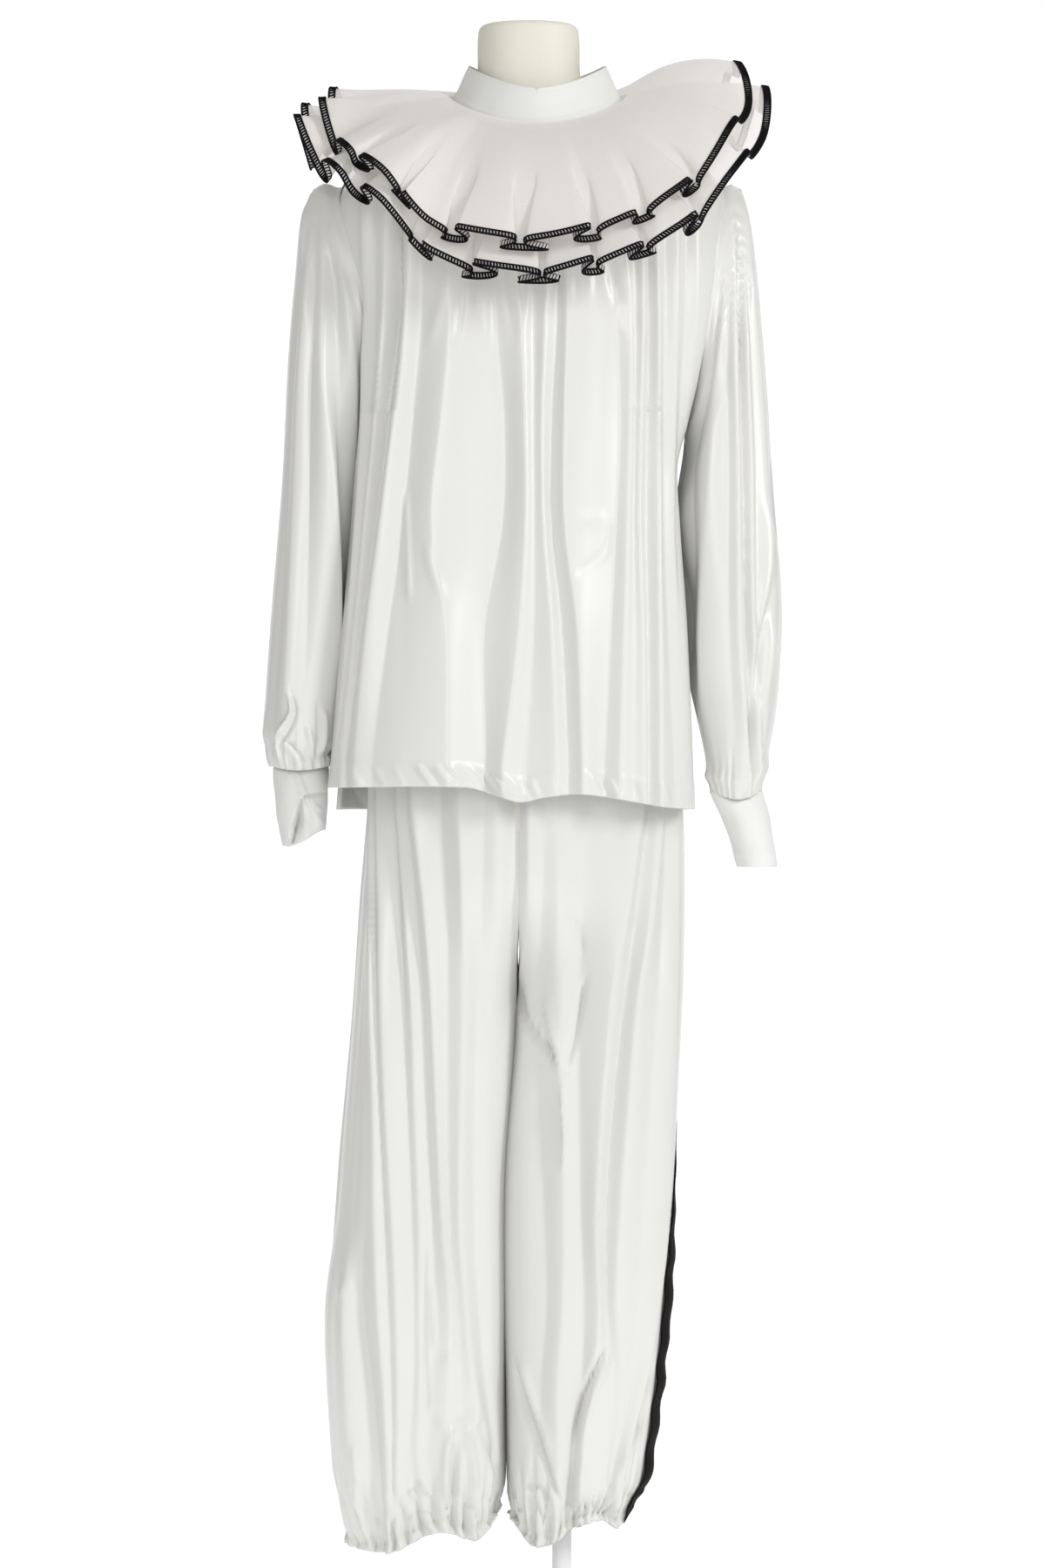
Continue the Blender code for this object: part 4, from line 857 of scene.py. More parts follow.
# Small slanted pulls where the hem is stitched.
HEM_PUCKERS = in_mm(
    Pucker,
    (-165, -0.5, 1.4, 3), (-145, -0.6, 1.2, 3), (-125, -0.5, 1, 3), (-104, -0.8, 2.8, 2.5),
    (-96, -0.8, -1.8, 2), (-87, -0.8, 2.8, 2.5), (-79, -0.8, -1.8, 2), (-72, -0.8, 2.6, 2.5),
    (-65, -0.8, -1.6, 2), (-53, -0.9, 2.8, 2.5), (-46, -0.9, -1.8, 2), (-36, -1, 3.8, 3),
    (-27, -1, -2.4, 3), (-14, -0.8, 2.4, 3), (4, -0.4, 1.4, 3), (30, -0.3, -1.2, 3), (62, -0.5, 2.4, 3),
    (70, -0.5, -1.8, 2.5), (78, -0.5, 2.2, 3), (102, -0.3, -1.2, 3), (128, -0.3, 1.4, 4),
)
PANEL_LOW = 0.830         # the level of a panel's first row, before its hem is moved to its line
ARMHOLE_MIDDLE, ARMHOLE_HALF = (UNDERARM + SHOULDER) / 2, (SHOULDER - UNDERARM) / 2
TUNIC_STEPS, TUNIC_POINTS = 240, {"front": 290, "back": 120}
AT_THE_SIDE, CLOSE, FAR_OUT = 0.4, 0.0005, 0.07
SEAM_FLAT, SEAM_SPREAD = 0.035, 0.010     # the shares of a panel, beside a seam, without folds and drawn in
HEM_SETTLES, FOLDS_START, FOLDS_END = 0.25, 1.380, 1.450
ARMHOLE_MARGIN = 0.004
UNDERLAP = {"front": 0.0010, "right": 0.0018, "left": 0.0026}
HEM_RIDGE, HEM_RIDGE_WIDTH, HEM_THICK = 0.0006, 0.0015, 0.0004
HEM_ROWS, SKIRT_ROWS, ARMHOLE_ROWS, YOKE_ROWS = 16, 60, 36, 12


def tipped(lift, angle):
    """The height that a ring round the neck gains or loses at a plan angle."""
    return lift[0] * math.sin(angle) - lift[1] * math.sin(angle) ** 2


def neck_lift(angle, z):
    return tipped(NECK_LIFT, angle) * ease(1.400, NECKLINE, z)


def tunic_side(body, y):
    """How far out from its middle a tunic section lies at y."""
    depth, full = (body.front, body.full) if y < 0 else (body.back, BACK_FULLNESS)
    share = min(abs(y) / depth, 1.0)
    corner = body.corner * bell(share, CORNER_AT, CORNER_SPREAD) if y < 0 else 0.0
    return body.half * (1.0 - share ** full) ** (1.0 / full) + corner


def tunic_point(angle, z):
    body = smooth_at(TUNIC, z)
    full = body.full if math.sin(angle) < 0 else BACK_FULLNESS
    y = oval(angle, body.half, body.front, body.back, full)[1]
    x = math.copysign(tunic_side(body, y), math.cos(angle))
    return Vector((body.centre + x, y, z + neck_lift(angle, z)))


def armhole_reach(z):
    """How far to the front and back of its middle the armhole is open."""
    if not UNDERARM < z < SHOULDER:
        return 0.0
    return ARMHOLE_DEPTH * math.sqrt(max(1.0 - ((z - ARMHOLE_MIDDLE) / ARMHOLE_HALF) ** 2, 0.0))


def armhole_edge(side, y, z):
    body = smooth_at(TUNIC, z)
    out = side * tunic_side(body, y)
    return Vector((body.centre + out, y, z + neck_lift(math.atan2(y, out), z)))


def armhole_point(side, turn):
    """The armhole's edge on the tunic: turn 0 under the arm, 0.25 in front, 0.5 at the shoulder."""
    angle = 2.0 * math.pi * turn
    z = ARMHOLE_MIDDLE - ARMHOLE_HALF * math.cos(angle)
    return armhole_edge(side, -ARMHOLE_DEPTH * math.sin(angle), z)


def front_hem(x):
    return smooth_at(HEM_LINE, x).z


def back_hem(x):
    return HEM_BACK


def hem_rise(x, up):
    """The turned hem: a low ridge at its stitching, and slanted puckers below it."""
    ridge = HEM_RIDGE * bell(up, HEM_DEPTH, HEM_RIDGE_WIDTH)
    doubled = HEM_THICK * ease(HEM_DEPTH, HEM_DEPTH - 0.002, up)
    inside = ease(HEM_DEPTH + 0.001, HEM_DEPTH - 0.007, up) * ease(-0.003, 0.005, up)
    pulls = sum(p.rise * bell(x, p.x + p.lean * (up - HEM_DEPTH), p.spread) for p in HEM_PUCKERS)
    return ridge + doubled + inside * pulls


def tunic_level(start, end, z):
    """The points of a panel at a level, from one plan angle to another, ending at its armholes."""
    reach = armhole_reach(z)
    angles = [start + (end - start) * k / TUNIC_STEPS for k in range(TUNIC_STEPS + 1)]
    line = [(angle, tunic_point(angle, z)) for angle in angles]
    line = [p for angle, p in line if abs(math.cos(angle)) <= AT_THE_SIDE or abs(p.y) >= reach + CLOSE]
    if reach:
        for at in (0, -1):
            if abs(line[at].x - smooth_at(TUNIC, z).centre) > FAR_OUT:
                edge = armhole_edge(math.copysign(1.0, line[at].x), math.copysign(reach, line[at].y), z)
                line.insert(0 if at == 0 else len(line), edge)
    return line


def tunic_rows(start, end, heights, count, name, hem, deep):
    """A tunic panel's rows from its hem up, with its folds."""
    rows, low = [], heights[0]
    for z in heights:
        full = ease(FOLDS_END, FOLDS_START, z)
        settle = 1.0 - ease(low, low + HEM_SETTLES, z)

        def rise(i, p):
            from_seam = min(i, count - i) / count
            edge = ease(0.0, SEAM_FLAT, from_seam)
            seam = -SEAM_SINKS * ease(SEAM_SPREAD, 0.0, from_seam)
            return full * edge * (lifted(name, p.x, z) + ripple(p)) + seam + hem_rise(p.x, z - low) * edge

        row = moved_out(even(tunic_level(start, end, z), count), rise)
        shut = not UNDERARM - ARMHOLE_MARGIN < z < SHOULDER + ARMHOLE_MARGIN
        row = turned_in(row, shut, shut, deep)
        rows.append([p + UP * (hem(p.x) - low) * settle for p in row])
    return rows


def panel_heights():
    """A tunic panel's levels, closest together at its hem and armholes."""
    hem = [PANEL_LOW + HEM_DEPTH * 1.6 * k / HEM_ROWS for k in range(HEM_ROWS)]
    skirt = [hem[-1] + (UNDERARM - hem[-1]) * k / SKIRT_ROWS for k in range(1, SKIRT_ROWS + 1)]
    turns = [math.pi * k / ARMHOLE_ROWS for k in range(1, ARMHOLE_ROWS + 1)]
    armhole = [ARMHOLE_MIDDLE - ARMHOLE_HALF * math.cos(turn) for turn in turns]
    yoke = [SHOULDER + (NECKLINE - SHOULDER) * k / YOKE_ROWS for k in range(1, YOKE_ROWS + 1)]
    return hem + skirt + armhole + yoke


def make_tunic():
    gap, half = math.radians(0.1), math.pi
    heights, count, deep = panel_heights(), TUNIC_POINTS["front"], UNDERLAP["front"]
    rows = tunic_rows(half + gap, 2 * half - gap, heights, count, "tunic_front", front_hem, deep)
    piece = cloth("tunic_front_cloth", "tunic_front", rows, "white_satin", SATIN)
    for name, start, end in (("right", 0.0, half / 2), ("left", half / 2, half)):
        count, deep = TUNIC_POINTS["back"], UNDERLAP[name]
        rows = tunic_rows(start + gap, end - gap, heights, count, "tunic_back", back_hem, deep)
        piece = cloth(f"tunic_back_{name}_cloth", f"tunic_back_{name}", rows, "white_satin", SATIN)


# ---- sleeves and cuffs ----------------------------------------------------------------------------
Gather = namedtuple("Gather", "place length depth width")
CUFF_GATHERS, HEM_GATHERS, CAP_PLEATS = 26, 21, 11
CAP_RISE = 0.018          # how far a sleeve's cap stands up from the shoulder seam
ARM_FULLNESS = 2.2
CUFF_TUCK, CAP_TUCK, PUFF = 0.0042, 0.0030, 0.0030
SEAM_GAP, SLEEVE_UNDER = 0.0003, 0.0022   # how far a sleeve stands off the armhole, and its seam goes in
CUFF_HEM, CUFF_CREASES, CUFF_TOP, CUFF_OVER = 0.0004, 0.0010, 0.94, 0.005
SLEEVE_POINTS, CUFF_POINTS, CUFF_ROWS = 176, 144, 40
SEAM_DIP = {-1: 0.004, 1: 0.010}
# The left cuff's front is folded in: a triangle below its tip, with a sharp left edge, a ridge down the
# middle and a soft right edge, each given where it meets the hem (x).
FOLD_TIP, FOLD_LEFT, FOLD_RIDGE, FOLD_RIGHT = (-0.2148, 0.8370), -0.2290, -0.2085, -0.1880
FOLD_DEPTH, HEM_SLANT, SLANT_END = 0.028, 0.016, -0.1920


def arm_point(arms, side, turn, z):
    arm = smooth_at(arms, z)
    centre, half = (arm.inner + arm.outer) / 2, (arm.outer - arm.inner) / 2
    x, y = oval(-2.0 * math.pi * turn, half, arm.depth, arm.depth, ARM_FULLNESS)
    return Vector((side * (centre - x), arm.middle + y, z))


def sleeve_point(side, turn, down):
    """A point of the smooth sleeve: down is 0 at the armhole and 1 at the cuff."""
    arms = SLEEVE[side]
    start = armhole_point(side, turn) + Vector((side * SEAM_GAP, 0.0, 0.0))
    under = (1.0 + math.cos(2.0 * math.pi * turn)) / 2
    cap = CAP_RISE * (1.0 - under) ** 2 * ease(0.0, 0.03, down) * ease(0.16, 0.03, down)
    z = start.z + (arms[-1].z - start.z) * down + cap
    hang = arm_point(arms, side, turn, min(z, arms[0].z))
    share = ease(-0.01, 0.045 + 0.25 * under, down)
    return Vector((start.x + (hang.x - start.x) * share, start.y + (hang.y - start.y) * share, z))


def gather_marks(count, seed, shortest, longest):
    """Uneven gathers round a tube."""
    draw = random.Random(seed)
    marks = []
    for k in range(count):
        place = (k + draw.uniform(-0.32, 0.32)) / count
        length, depth = draw.uniform(shortest, longest), draw.uniform(0.5, 1.0)
        marks.append(Gather(place % 1.0, length, depth, draw.uniform(0.24, 0.42)))
    return marks


def gathers(marks, place, up, depth, loop=True):
    """How far the gathers pull the cloth in, up above the seam they start from."""
    total = 0.0
    for mark in marks:
        away = turn_away(place, mark.place) if loop else abs(place - mark.place)
        away /= mark.width / len(marks)
        if away < 3.0 and up < mark.length:
            total -= depth * mark.depth * math.exp(-away * away) * ease(mark.length, 0.0, up)
    return total


def seam_dip(side, p):
    """How far the cuff's seam hangs below its level in front."""
    arm = CUFF[side][0]
    away = (abs(p.x) - (arm.inner + arm.outer) / 2) / ((arm.outer - arm.inner) / 2)
    front = ease(arm.middle + 0.010, arm.middle - 0.015, p.y)
    return SEAM_DIP[side] * max(1.0 - away * away, 0.0) * front


def sleeve_downs():
    """A sleeve's rows, closest together at its cap and at its cuff."""
    cap, hang, cuff = 34, 44, 32
    cap_ends, cuff_starts = 0.28, 0.85
    downs = [cap_ends * (k / cap) ** 1.3 for k in range(cap)]
    downs += [cap_ends + (cuff_starts - cap_ends) * k / hang for k in range(hang)]
    return downs + [cuff_starts + (1.0 - cuff_starts) * k / cuff for k in range(cuff + 1)]


def make_sleeve(side, name):
    rows, count = [], SLEEVE_POINTS
    marks = gather_marks(CUFF_GATHERS, 11 + side, shortest=0.030, longest=0.085)
    pleats = gather_marks(CAP_PLEATS, 21 + side, shortest=0.030, longest=0.110)
    length = SHOULDER - SLEEVE[side][-1].z
    turns = [(i / count if side > 0 else 1.0 - i / count) for i in range(count)]
    for down in sleeve_downs():
        hanging = ease(0.0, 0.05, down) * ease(1.0, 0.96, down)
        puff = PUFF * bell(down, 0.965, 0.016)

        def rise(i, p):
            turn = turns[i] % 1.0
            face = "front" if turn < 0.5 else "back"
            tucked = gathers(marks, turn, (1.0 - down) * length, CUFF_TUCK)
            top = ease(0.16, 0.26, turn) * ease(0.84, 0.74, turn)
            pleated = gathers(pleats, turn, down * length, CAP_TUCK) * top * ease(0.0, 0.012, down)
            folds = lifted(f"sleeve_{face}_{name}", p.x, p.z) + ripple(p)
            return side * (folds * hanging + tucked + pleated + puff)

        row = moved_out([sleeve_point(side, turn, down) for turn in turns], rise, closed=True)
        low = ease(0.86, 1.0, down)
        rows.append([p - UP * seam_dip(side, p) * low for p in row])
    ring = rows[0]
    middle = sum(ring, Vector()) / count
    inside = Vector((side * -SLEEVE_UNDER, 0.0, 0.0))
    rows.insert(0, [p + inside * 0.5 for p in ring])
    rows.insert(0, [p + inside + (p - middle).normalized() * ALLOWANCE for p in ring])
    piece = cloth(f"sleeve_{name}_cloth", f"sleeve_{name}", rows, "white_satin", SATIN, closed=True)


def folded_in(p, low):
    """How far back the left cuff's cloth lies inside its folded triangle."""
    down = (FOLD_TIP[1] - p.z) / (FOLD_TIP[1] - low)
    if down <= 0.0:
        return 0.0
    edges = (FOLD_LEFT, FOLD_RIDGE, FOLD_RIGHT)
    left, ridge, right = (FOLD_TIP[0] + (x - FOLD_TIP[0]) * down for x in edges)
    deep = FOLD_DEPTH * min(2.0 * down, 1.0) ** 0.7
    edge = ease(left - 0.0010, left + 0.0012, p.x)
    return deep * edge * (0.35 + 0.65 * ease(ridge, left + 0.001, p.x)) * ease(right, ridge + 0.002, p.x)


def make_cuff(side, name):
    arms, rows, count = CUFF[side], [], CUFF_POINTS
    high, low = arms[0].z, arms[-1].z
    for k in range(CUFF_ROWS + 1):
        share = k / CUFF_ROWS
        z = high - (high - low) * share
        row = [arm_point(arms, side, i / count, z) for i in range(count)]
        for p in row:
            if side < 0 and p.y < arms[0].middle:
                p.y += folded_in(p, low)

        def rise(i, p):
            hem = CUFF_HEM * ease(0.78, 0.80, share)
            creased = CUFF_CREASES * noise.noise(Vector((p.x * 60, p.y * 60, p.z * 45 + side)))
            if side < 0 and p.y < 0.0:
                creased += PULLS["cuff_left"].rise(p.x, p.z)
            return side * (hem + creased)

        slant, dip = HEM_SLANT * share ** 2 if side < 0 else 0.0, (1.0 - share) ** 2
        rows.append([p + UP * (slant * ease(FOLD_LEFT, SLANT_END, p.x) - dip * seam_dip(side, p))
                     for p in moved_out(row, rise, closed=True)])
    middle = sum(rows[0], Vector()) / count
    rows.insert(0, [middle + (p - middle) * CUFF_TOP + UP * CUFF_OVER for p in rows[0]])
    piece = cloth(f"cuff_{name}_cloth", f"cuff_{name}", rows, "plain_white_cloth", PLAIN, closed=True)


# ---- collar and ruff ------------------------------------------------------------------------------
COLLAR_POINTS, COLLAR_ROWS, COLLAR_GAP = 280, 28, 0.001
NICK_AT, NICK_SPREAD, NICK_DEPTH = 0.494, 0.005, 0.0022
COLLAR_BAND, BAND_TOP, STITCH_SINKS, TOP_SINKS = 0.0007, 0.28, 0.0004, 0.0005
RUFF_ROWS, WAVE_POINTS = 26, 36


def round_angle(turn):
    return math.pi / 2 + 2.0 * math.pi * turn


def collar_point(turn, share):
    """The stand collar: a round seam below, and a lens with a corner at each side above."""
    angle = round_angle(turn)
    half, depth, full = (low + (top - low) * share for low, top in zip(COLLAR_SEAM, COLLAR_TOP))
    x, y = oval(angle, half, depth, depth, full)
    lift = tipped(NECK_LIFT, angle) * (1.0 - share) + tipped(COLLAR_LIFT, angle) * share
    return Vector((RUFF_CENTRE + x, y, COLLAR_FOOT + COLLAR_HEIGHT * share + lift))


def make_collar():
    rows = []
    for k in range(COLLAR_ROWS + 1):
        share = k / COLLAR_ROWS
        row = []
        for i in range(COLLAR_POINTS + 1):
            turn = COLLAR_GAP + (1.0 - 2 * COLLAR_GAP) * i / COLLAR_POINTS
            nick = NICK_DEPTH * bell(turn, NICK_AT, NICK_SPREAD) * ease(0.85, 1.0, share)
            row.append(collar_point(turn, share) - UP * nick)

        def rise(i, p):
            band = COLLAR_BAND * ease(BAND_TOP + 0.02, BAND_TOP - 0.02, share)
            sunk = STITCH_SINKS * bell(share, BAND_TOP, 0.03) + TOP_SINKS * bell(share, 0.93, 0.02)
            return band - sunk + 0.0006 * noise_at(p, 40, 40)

        rows.append(moved_out(row, rise))
    piece = cloth("collar_cloth", "collar", rows, "plain_white_cloth", PLAIN)


def ruff_surface(layer, turn, distance):
    """A ruff layer without its folds, distance out from the neck along the cloth, and its normal there."""
    flare = smooth_at(RUFF[layer], turn % 1.0)
    out = distance * flare.width
    angle = round_angle(turn)
    x, y = math.cos(angle), math.sin(angle)
    outward = Vector((x / RUFF_START[0], y / RUFF_START[1], 0.0)).normalized()
    lean = math.radians(flare.slope + flare.arch * (1.0 - distance))
    lift = LAYER_STEP if layer == "upper" else 0.0
    foot = RUFF_FOOT + lift + tipped(NECK_LIFT, angle)
    start = Vector((RUFF_CENTRE + RUFF_START[0] * x, RUFF_START[1] * y, foot))
    normal = outward * -math.sin(lean) + UP * math.cos(lean)
    return start + outward * out * math.cos(lean) + UP * out * math.sin(lean), normal, out


def ruff_point(layer, place, distance):
    """A ruff layer with its folds, which double back on themselves near the edge; place counts waves."""
    waves = RUFF_WAVES[layer]
    here = smooth_at(waves, place)
    phase = 2.0 * math.pi * place
    wide = CREST_SHARE * math.sin(phase) * min(here.lap, 1.0)
    double = here.lap * ease(0.35, 1.0, distance) * math.sin(2.0 * phase)
    turn = smooth_at(waves, place + (wide + double) / (2.0 * math.pi)).turn
    point, normal, out = ruff_surface(layer, turn, distance)
    rise = here.rise * (out / RUFF_REACH) ** RUFF_SPRING
    return point + normal * rise * (math.cos(phase) + here.lean * math.sin(phase))


def make_ruff(layer):
    last = len(RUFF_WAVES[layer]) - 1
    count = WAVE_POINTS * last
    rows = [[ruff_point(layer, last * i / count, k / RUFF_ROWS) for i in range(count + 1)]
            for k in range(RUFF_ROWS + 1)]
    piece = cloth(f"ruff_{layer}_cloth", f"ruff_{layer}", rows, "sheer_organza")
    edge = overlock(f"ruff_{layer}_overlock", rows)
    stand_for(edge)


# ---- stitching by Geometry Nodes ------------------------------------------------------------------
class Pattern(Nodes):
    """A Geometry Nodes tree with named sizes, whose result becomes a plain mesh."""

    def __init__(self, name, sizes):
        super().__init__(bpy.data.node_groups.new(name, "GeometryNodeTree"))
        face = self.tree.interface
        for way in ("INPUT", "OUTPUT"):
            face.new_socket("Geometry", in_out=way, socket_type="NodeSocketGeometry")
        kind = "NodeSocketFloat"
        self.sockets = {size: face.new_socket(size, in_out="INPUT", socket_type=kind).identifier
                        for size in sizes}
        start = self.tree.nodes.new("NodeGroupInput")
        self.line = Value(self, start.outputs[0])
        self.sizes = {size: Value(self, start.outputs[size]) for size in sizes}
        self.end = self.tree.nodes.new("NodeGroupOutput")

    def finish(self, parts, look):
        join = self.tree.nodes.new("GeometryNodeJoinGeometry")
        for part in parts:
            self.put(join.inputs[0], part)
        real = self.node("GeometryNodeRealizeInstances", None, {"Geometry": Value(self, join.outputs[0])})
        dressed = self.node("GeometryNodeSetMaterial", None, {"Geometry": real, "Material": look})
        self.put(self.end.inputs[0], dressed)

    def run(self, name, mesh, values, look):
        guide = bpy.data.objects.new(name + "_guide", mesh)
        bpy.context.scene.collection.objects.link(guide)
        made = guide.modifiers.new("pattern", "NODES")
        made.node_group = self.tree
        for size, value in values.items():
            made[self.sockets[size]] = value
        graph = bpy.context.evaluated_depsgraph_get()
        result = bpy.data.meshes.new_from_object(guide.evaluated_get(graph))
        bpy.data.objects.remove(guide)
        result.name = name
        result.shade_smooth()
        return link(name, result, look)


def line_mesh(name, points, inward, outward):
    """A line of edges that carries, at each point, the way into the cloth and the way off its face."""
    mesh = bpy.data.meshes.new(name)
    mesh.from_pydata([tuple(p) for p in points], [(i, i + 1) for i in range(len(points) - 1)], [])
    for label, vectors in (("inward", inward), ("outward", outward)):
        layer = mesh.attributes.new(label, "FLOAT_VECTOR", "POINT")
        for i, vector in enumerate(vectors):
            layer.data[i].vector = vector
    return mesh


OVERLOCK_SIZES = {"Width": 0.0058, "Pitch": 0.0031, "Rail": 0.00110, "Rung": 0.00100}
RUNG_SLANT, OVERLOCK_LIFT = math.radians(16.0), 0.0006


def overlock_pattern():
    """Two rails of looper thread along the edge, with slanted threads from one to the other."""
    p = Pattern("overlock_edge", OVERLOCK_SIZES)
    width = p.sizes["Width"]
    kind, settings = "GeometryNodeInputNamedAttribute", {"data_type": "FLOAT_VECTOR"}
    inward, outward = (p.node(kind, settings, {"Name": label}) for label in ("inward", "outward"))
    shift = p.node("ShaderNodeVectorMath", {"operation": "SCALE"}, {0: inward, "Scale": width})
    inner = p.node("GeometryNodeSetPosition", None, {"Geometry": p.line, "Offset": shift})
    rails = []
    for line, share in ((p.line, 1.0), (inner, 0.8)):
        curve = p.node("GeometryNodeMeshToCurve", None, {"Mesh": line})
        radius = p.sizes["Rail"] * share
        ring = p.node("GeometryNodeCurvePrimitiveCircle", None, {"Resolution": 6, "Radius": radius})
        inputs = {"Curve": curve, "Profile Curve": ring, "Fill Caps": True}
        rails.append(p.node("GeometryNodeCurveToMesh", None, inputs))
    curve = p.node("GeometryNodeMeshToCurve", None, {"Mesh": p.line})
    inputs = {"Curve": curve, "Length": p.sizes["Pitch"]}
    points = p.node("GeometryNodeCurveToPoints", {"mode": "LENGTH"}, inputs)
    inputs = {"Vertices": 5, "Radius": p.sizes["Rung"], "Depth": width}
    rod = p.node("GeometryNodeMeshCylinder", {"fill_type": "NONE"}, inputs, "Mesh")
    middle = p.node("ShaderNodeCombineXYZ", None, {"Z": width * 0.5})
    moved = p.node("GeometryNodeTransform", None, {"Geometry": rod, "Translation": middle})
    slant = p.node("GeometryNodeTransform", None, {"Geometry": moved, "Rotation": (0.0, RUNG_SLANT, 0.0)})
    turned = p.node("FunctionNodeAxesToRotation", {"primary_axis": "Z", "secondary_axis": "Y"},
                    {"Primary Axis": inward, "Secondary Axis": outward})
    inputs = {"Points": points, "Instance": slant, "Rotation": turned}
    rungs = p.node("GeometryNodeInstanceOnPoints", None, inputs)
    p.finish([rungs] + rails, LOOKS["black_thread"])
    return p


OVERLOCK = overlock_pattern()


def overlock(name, rows):
    """The overlocked edge of a ruff layer, along its last row."""
    edge, before = rows[-1], rows[-3]
    inward, outward = [], []
    for i, point in enumerate(edge):
        along = (edge[min(i + 1, len(edge) - 1)] - edge[max(i - 1, 0)]).normalized()
        across = before[i] - point
        inward.append((across - along * across.dot(along)).normalized())
        outward.append(along.cross(inward[i]).normalized())
    raised = [point + way * OVERLOCK_LIFT for point, way in zip(edge, outward)]
    mesh = line_mesh(name + "_line", raised, inward, outward)
    return OVERLOCK.run(name, mesh, OVERLOCK_SIZES, LOOKS["black_thread"])


# ---- trousers -------------------------------------------------------------------------------------
CASING, CASING_SINKS = 0.010, 0.0020      # how far above the hem the elastic runs, and how deep it draws
HEM_TUCK, FRILL, FRILL_WAVES = 0.0110, 0.0012, 34
UNDER_STRIPE = 0.12       # the share of a panel, from its outer seam, that lies flat under the stripe
RIDGE_AT, RIDGE_SPREAD = -0.055, 0.085
SEAM_AT, SEAM_FORWARD = {-1: -0.200, 1: -0.150}, 0.212
SEAM_TURNS = (0.600, 0.335)               # the heights between which the right leg's outer seam comes forward
CRINKLE_SHARP, CRINKLE_SOFT = 0.0050, 0.0030
STRIPE_LIFT, STRIPE_WAVE = 0.0008, 0.0011
LEG_FULLNESS, HIP_FULLNESS, LEG_FLATTER, HIPS_BLEND = 2.4, 2.2, 0.94, 0.16
HALF_ROUND = 2.6          # the way round one half of a leg, in half widths of the leg
LEG_STEPS = 128
GATHERED, GATHERED_ROWS, LEG_ROWS = 0.070, 30, 110
LEG_POINTS = {"front": 140, "back": 90}
# How the trousers sink in along their centre seam above the crotch: where it runs, how deep and how wide.
CENTRE_SEAM = {"front": (-0.010, 0.010, 0.011), "back": (-0.004, 0.006, 0.011)}
# How far each leg's gathered hem lies above its level, at places across.
HEM_LINES = {
    -1: in_mm(
        Place,
        (-180, -4), (-132, -9), (-94, 8), (-76, 11), (-49, 2), (-36, 10), (-24, 28),
    ),
    1: in_mm(
        Place,
        (-16, 20), (-8, 13), (6, -3), (27, 0), (48, 15), (74, 21), (90, 13), (104, 28),
    ),
}
HEM_SETTLE = 0.060        # above this height over the hem the cloth lies level


def leg_point(side, away, z):
    """A point of a trouser leg: away is 0 at the outer seam, 1 in front at the inner, -1 behind."""
    leg = smooth_at(LEGS[side], z)
    depth = leg.front if away > 0 else leg.back
    centre, half = (leg.outer + leg.middle) / 2, (leg.outer - leg.middle) / 2
    whole = math.pi * abs(away)
    leg_x, leg_y = oval(whole, half, depth, depth, LEG_FULLNESS)
    hip_x, hip_y = oval(whole / 2, leg.outer - leg.middle, depth, depth, HIP_FULLNESS)
    hips = ease(CROTCH, CROTCH + HIPS_BLEND, z)
    x = (centre + leg_x) * (1 - hips) + (leg.middle + hip_x) * hips
    y = leg_y * LEG_FLATTER * (1 - hips) + hip_y * hips
    ridge = SEAM_RIDGE * seam_forward(side, z) * bell(away - seam_turn(side, z), RIDGE_AT, RIDGE_SPREAD)
    return Vector((side * (x + ridge), -y if away > 0 else y, z))


def seam_forward(side, z):
    """How far the outer seam has come forward: 0 on the left leg and high up, 1 near the right hem."""
    return 0.0 if side < 0 else ease(*SEAM_TURNS, z)


def seam_turn(side, z):
    """Where the outer seam and its stripe run: behind the side, and forward near the right hem."""
    return SEAM_AT[side] + SEAM_FORWARD * seam_forward(side, z)


def hem_lift(side, x, z):
    """How far the uneven hem moves the cloth up at x, z."""
    return smooth_at(HEM_LINES[side], x).z * (1.0 - ease(0.0, HEM_SETTLE, z - LEG_HEM))


def centre_dip(face, x, z):
    """The trousers sink in along their centre seam, above the crotch."""
    middle, deep, wide = CENTRE_SEAM[face]
    return deep * ease(CROTCH - 0.01, CROTCH + 0.06, z) * ease(1.0, 0.88, z) * bell(x, middle, wide)


def crinkle(place, seed, z):
    """Short sharp creases that the elastic leaves above the hem."""
    sharp = 1.0 - 2.0 * abs(noise.noise(Vector((24.0 * place, seed, z * 20.0 + 6.0 * place))))
    soft = noise.noise(Vector((40.0 * place, seed + 9.0, z * 30.0)))
    return CRINKLE_SOFT * soft - CRINKLE_SHARP * sharp ** 6


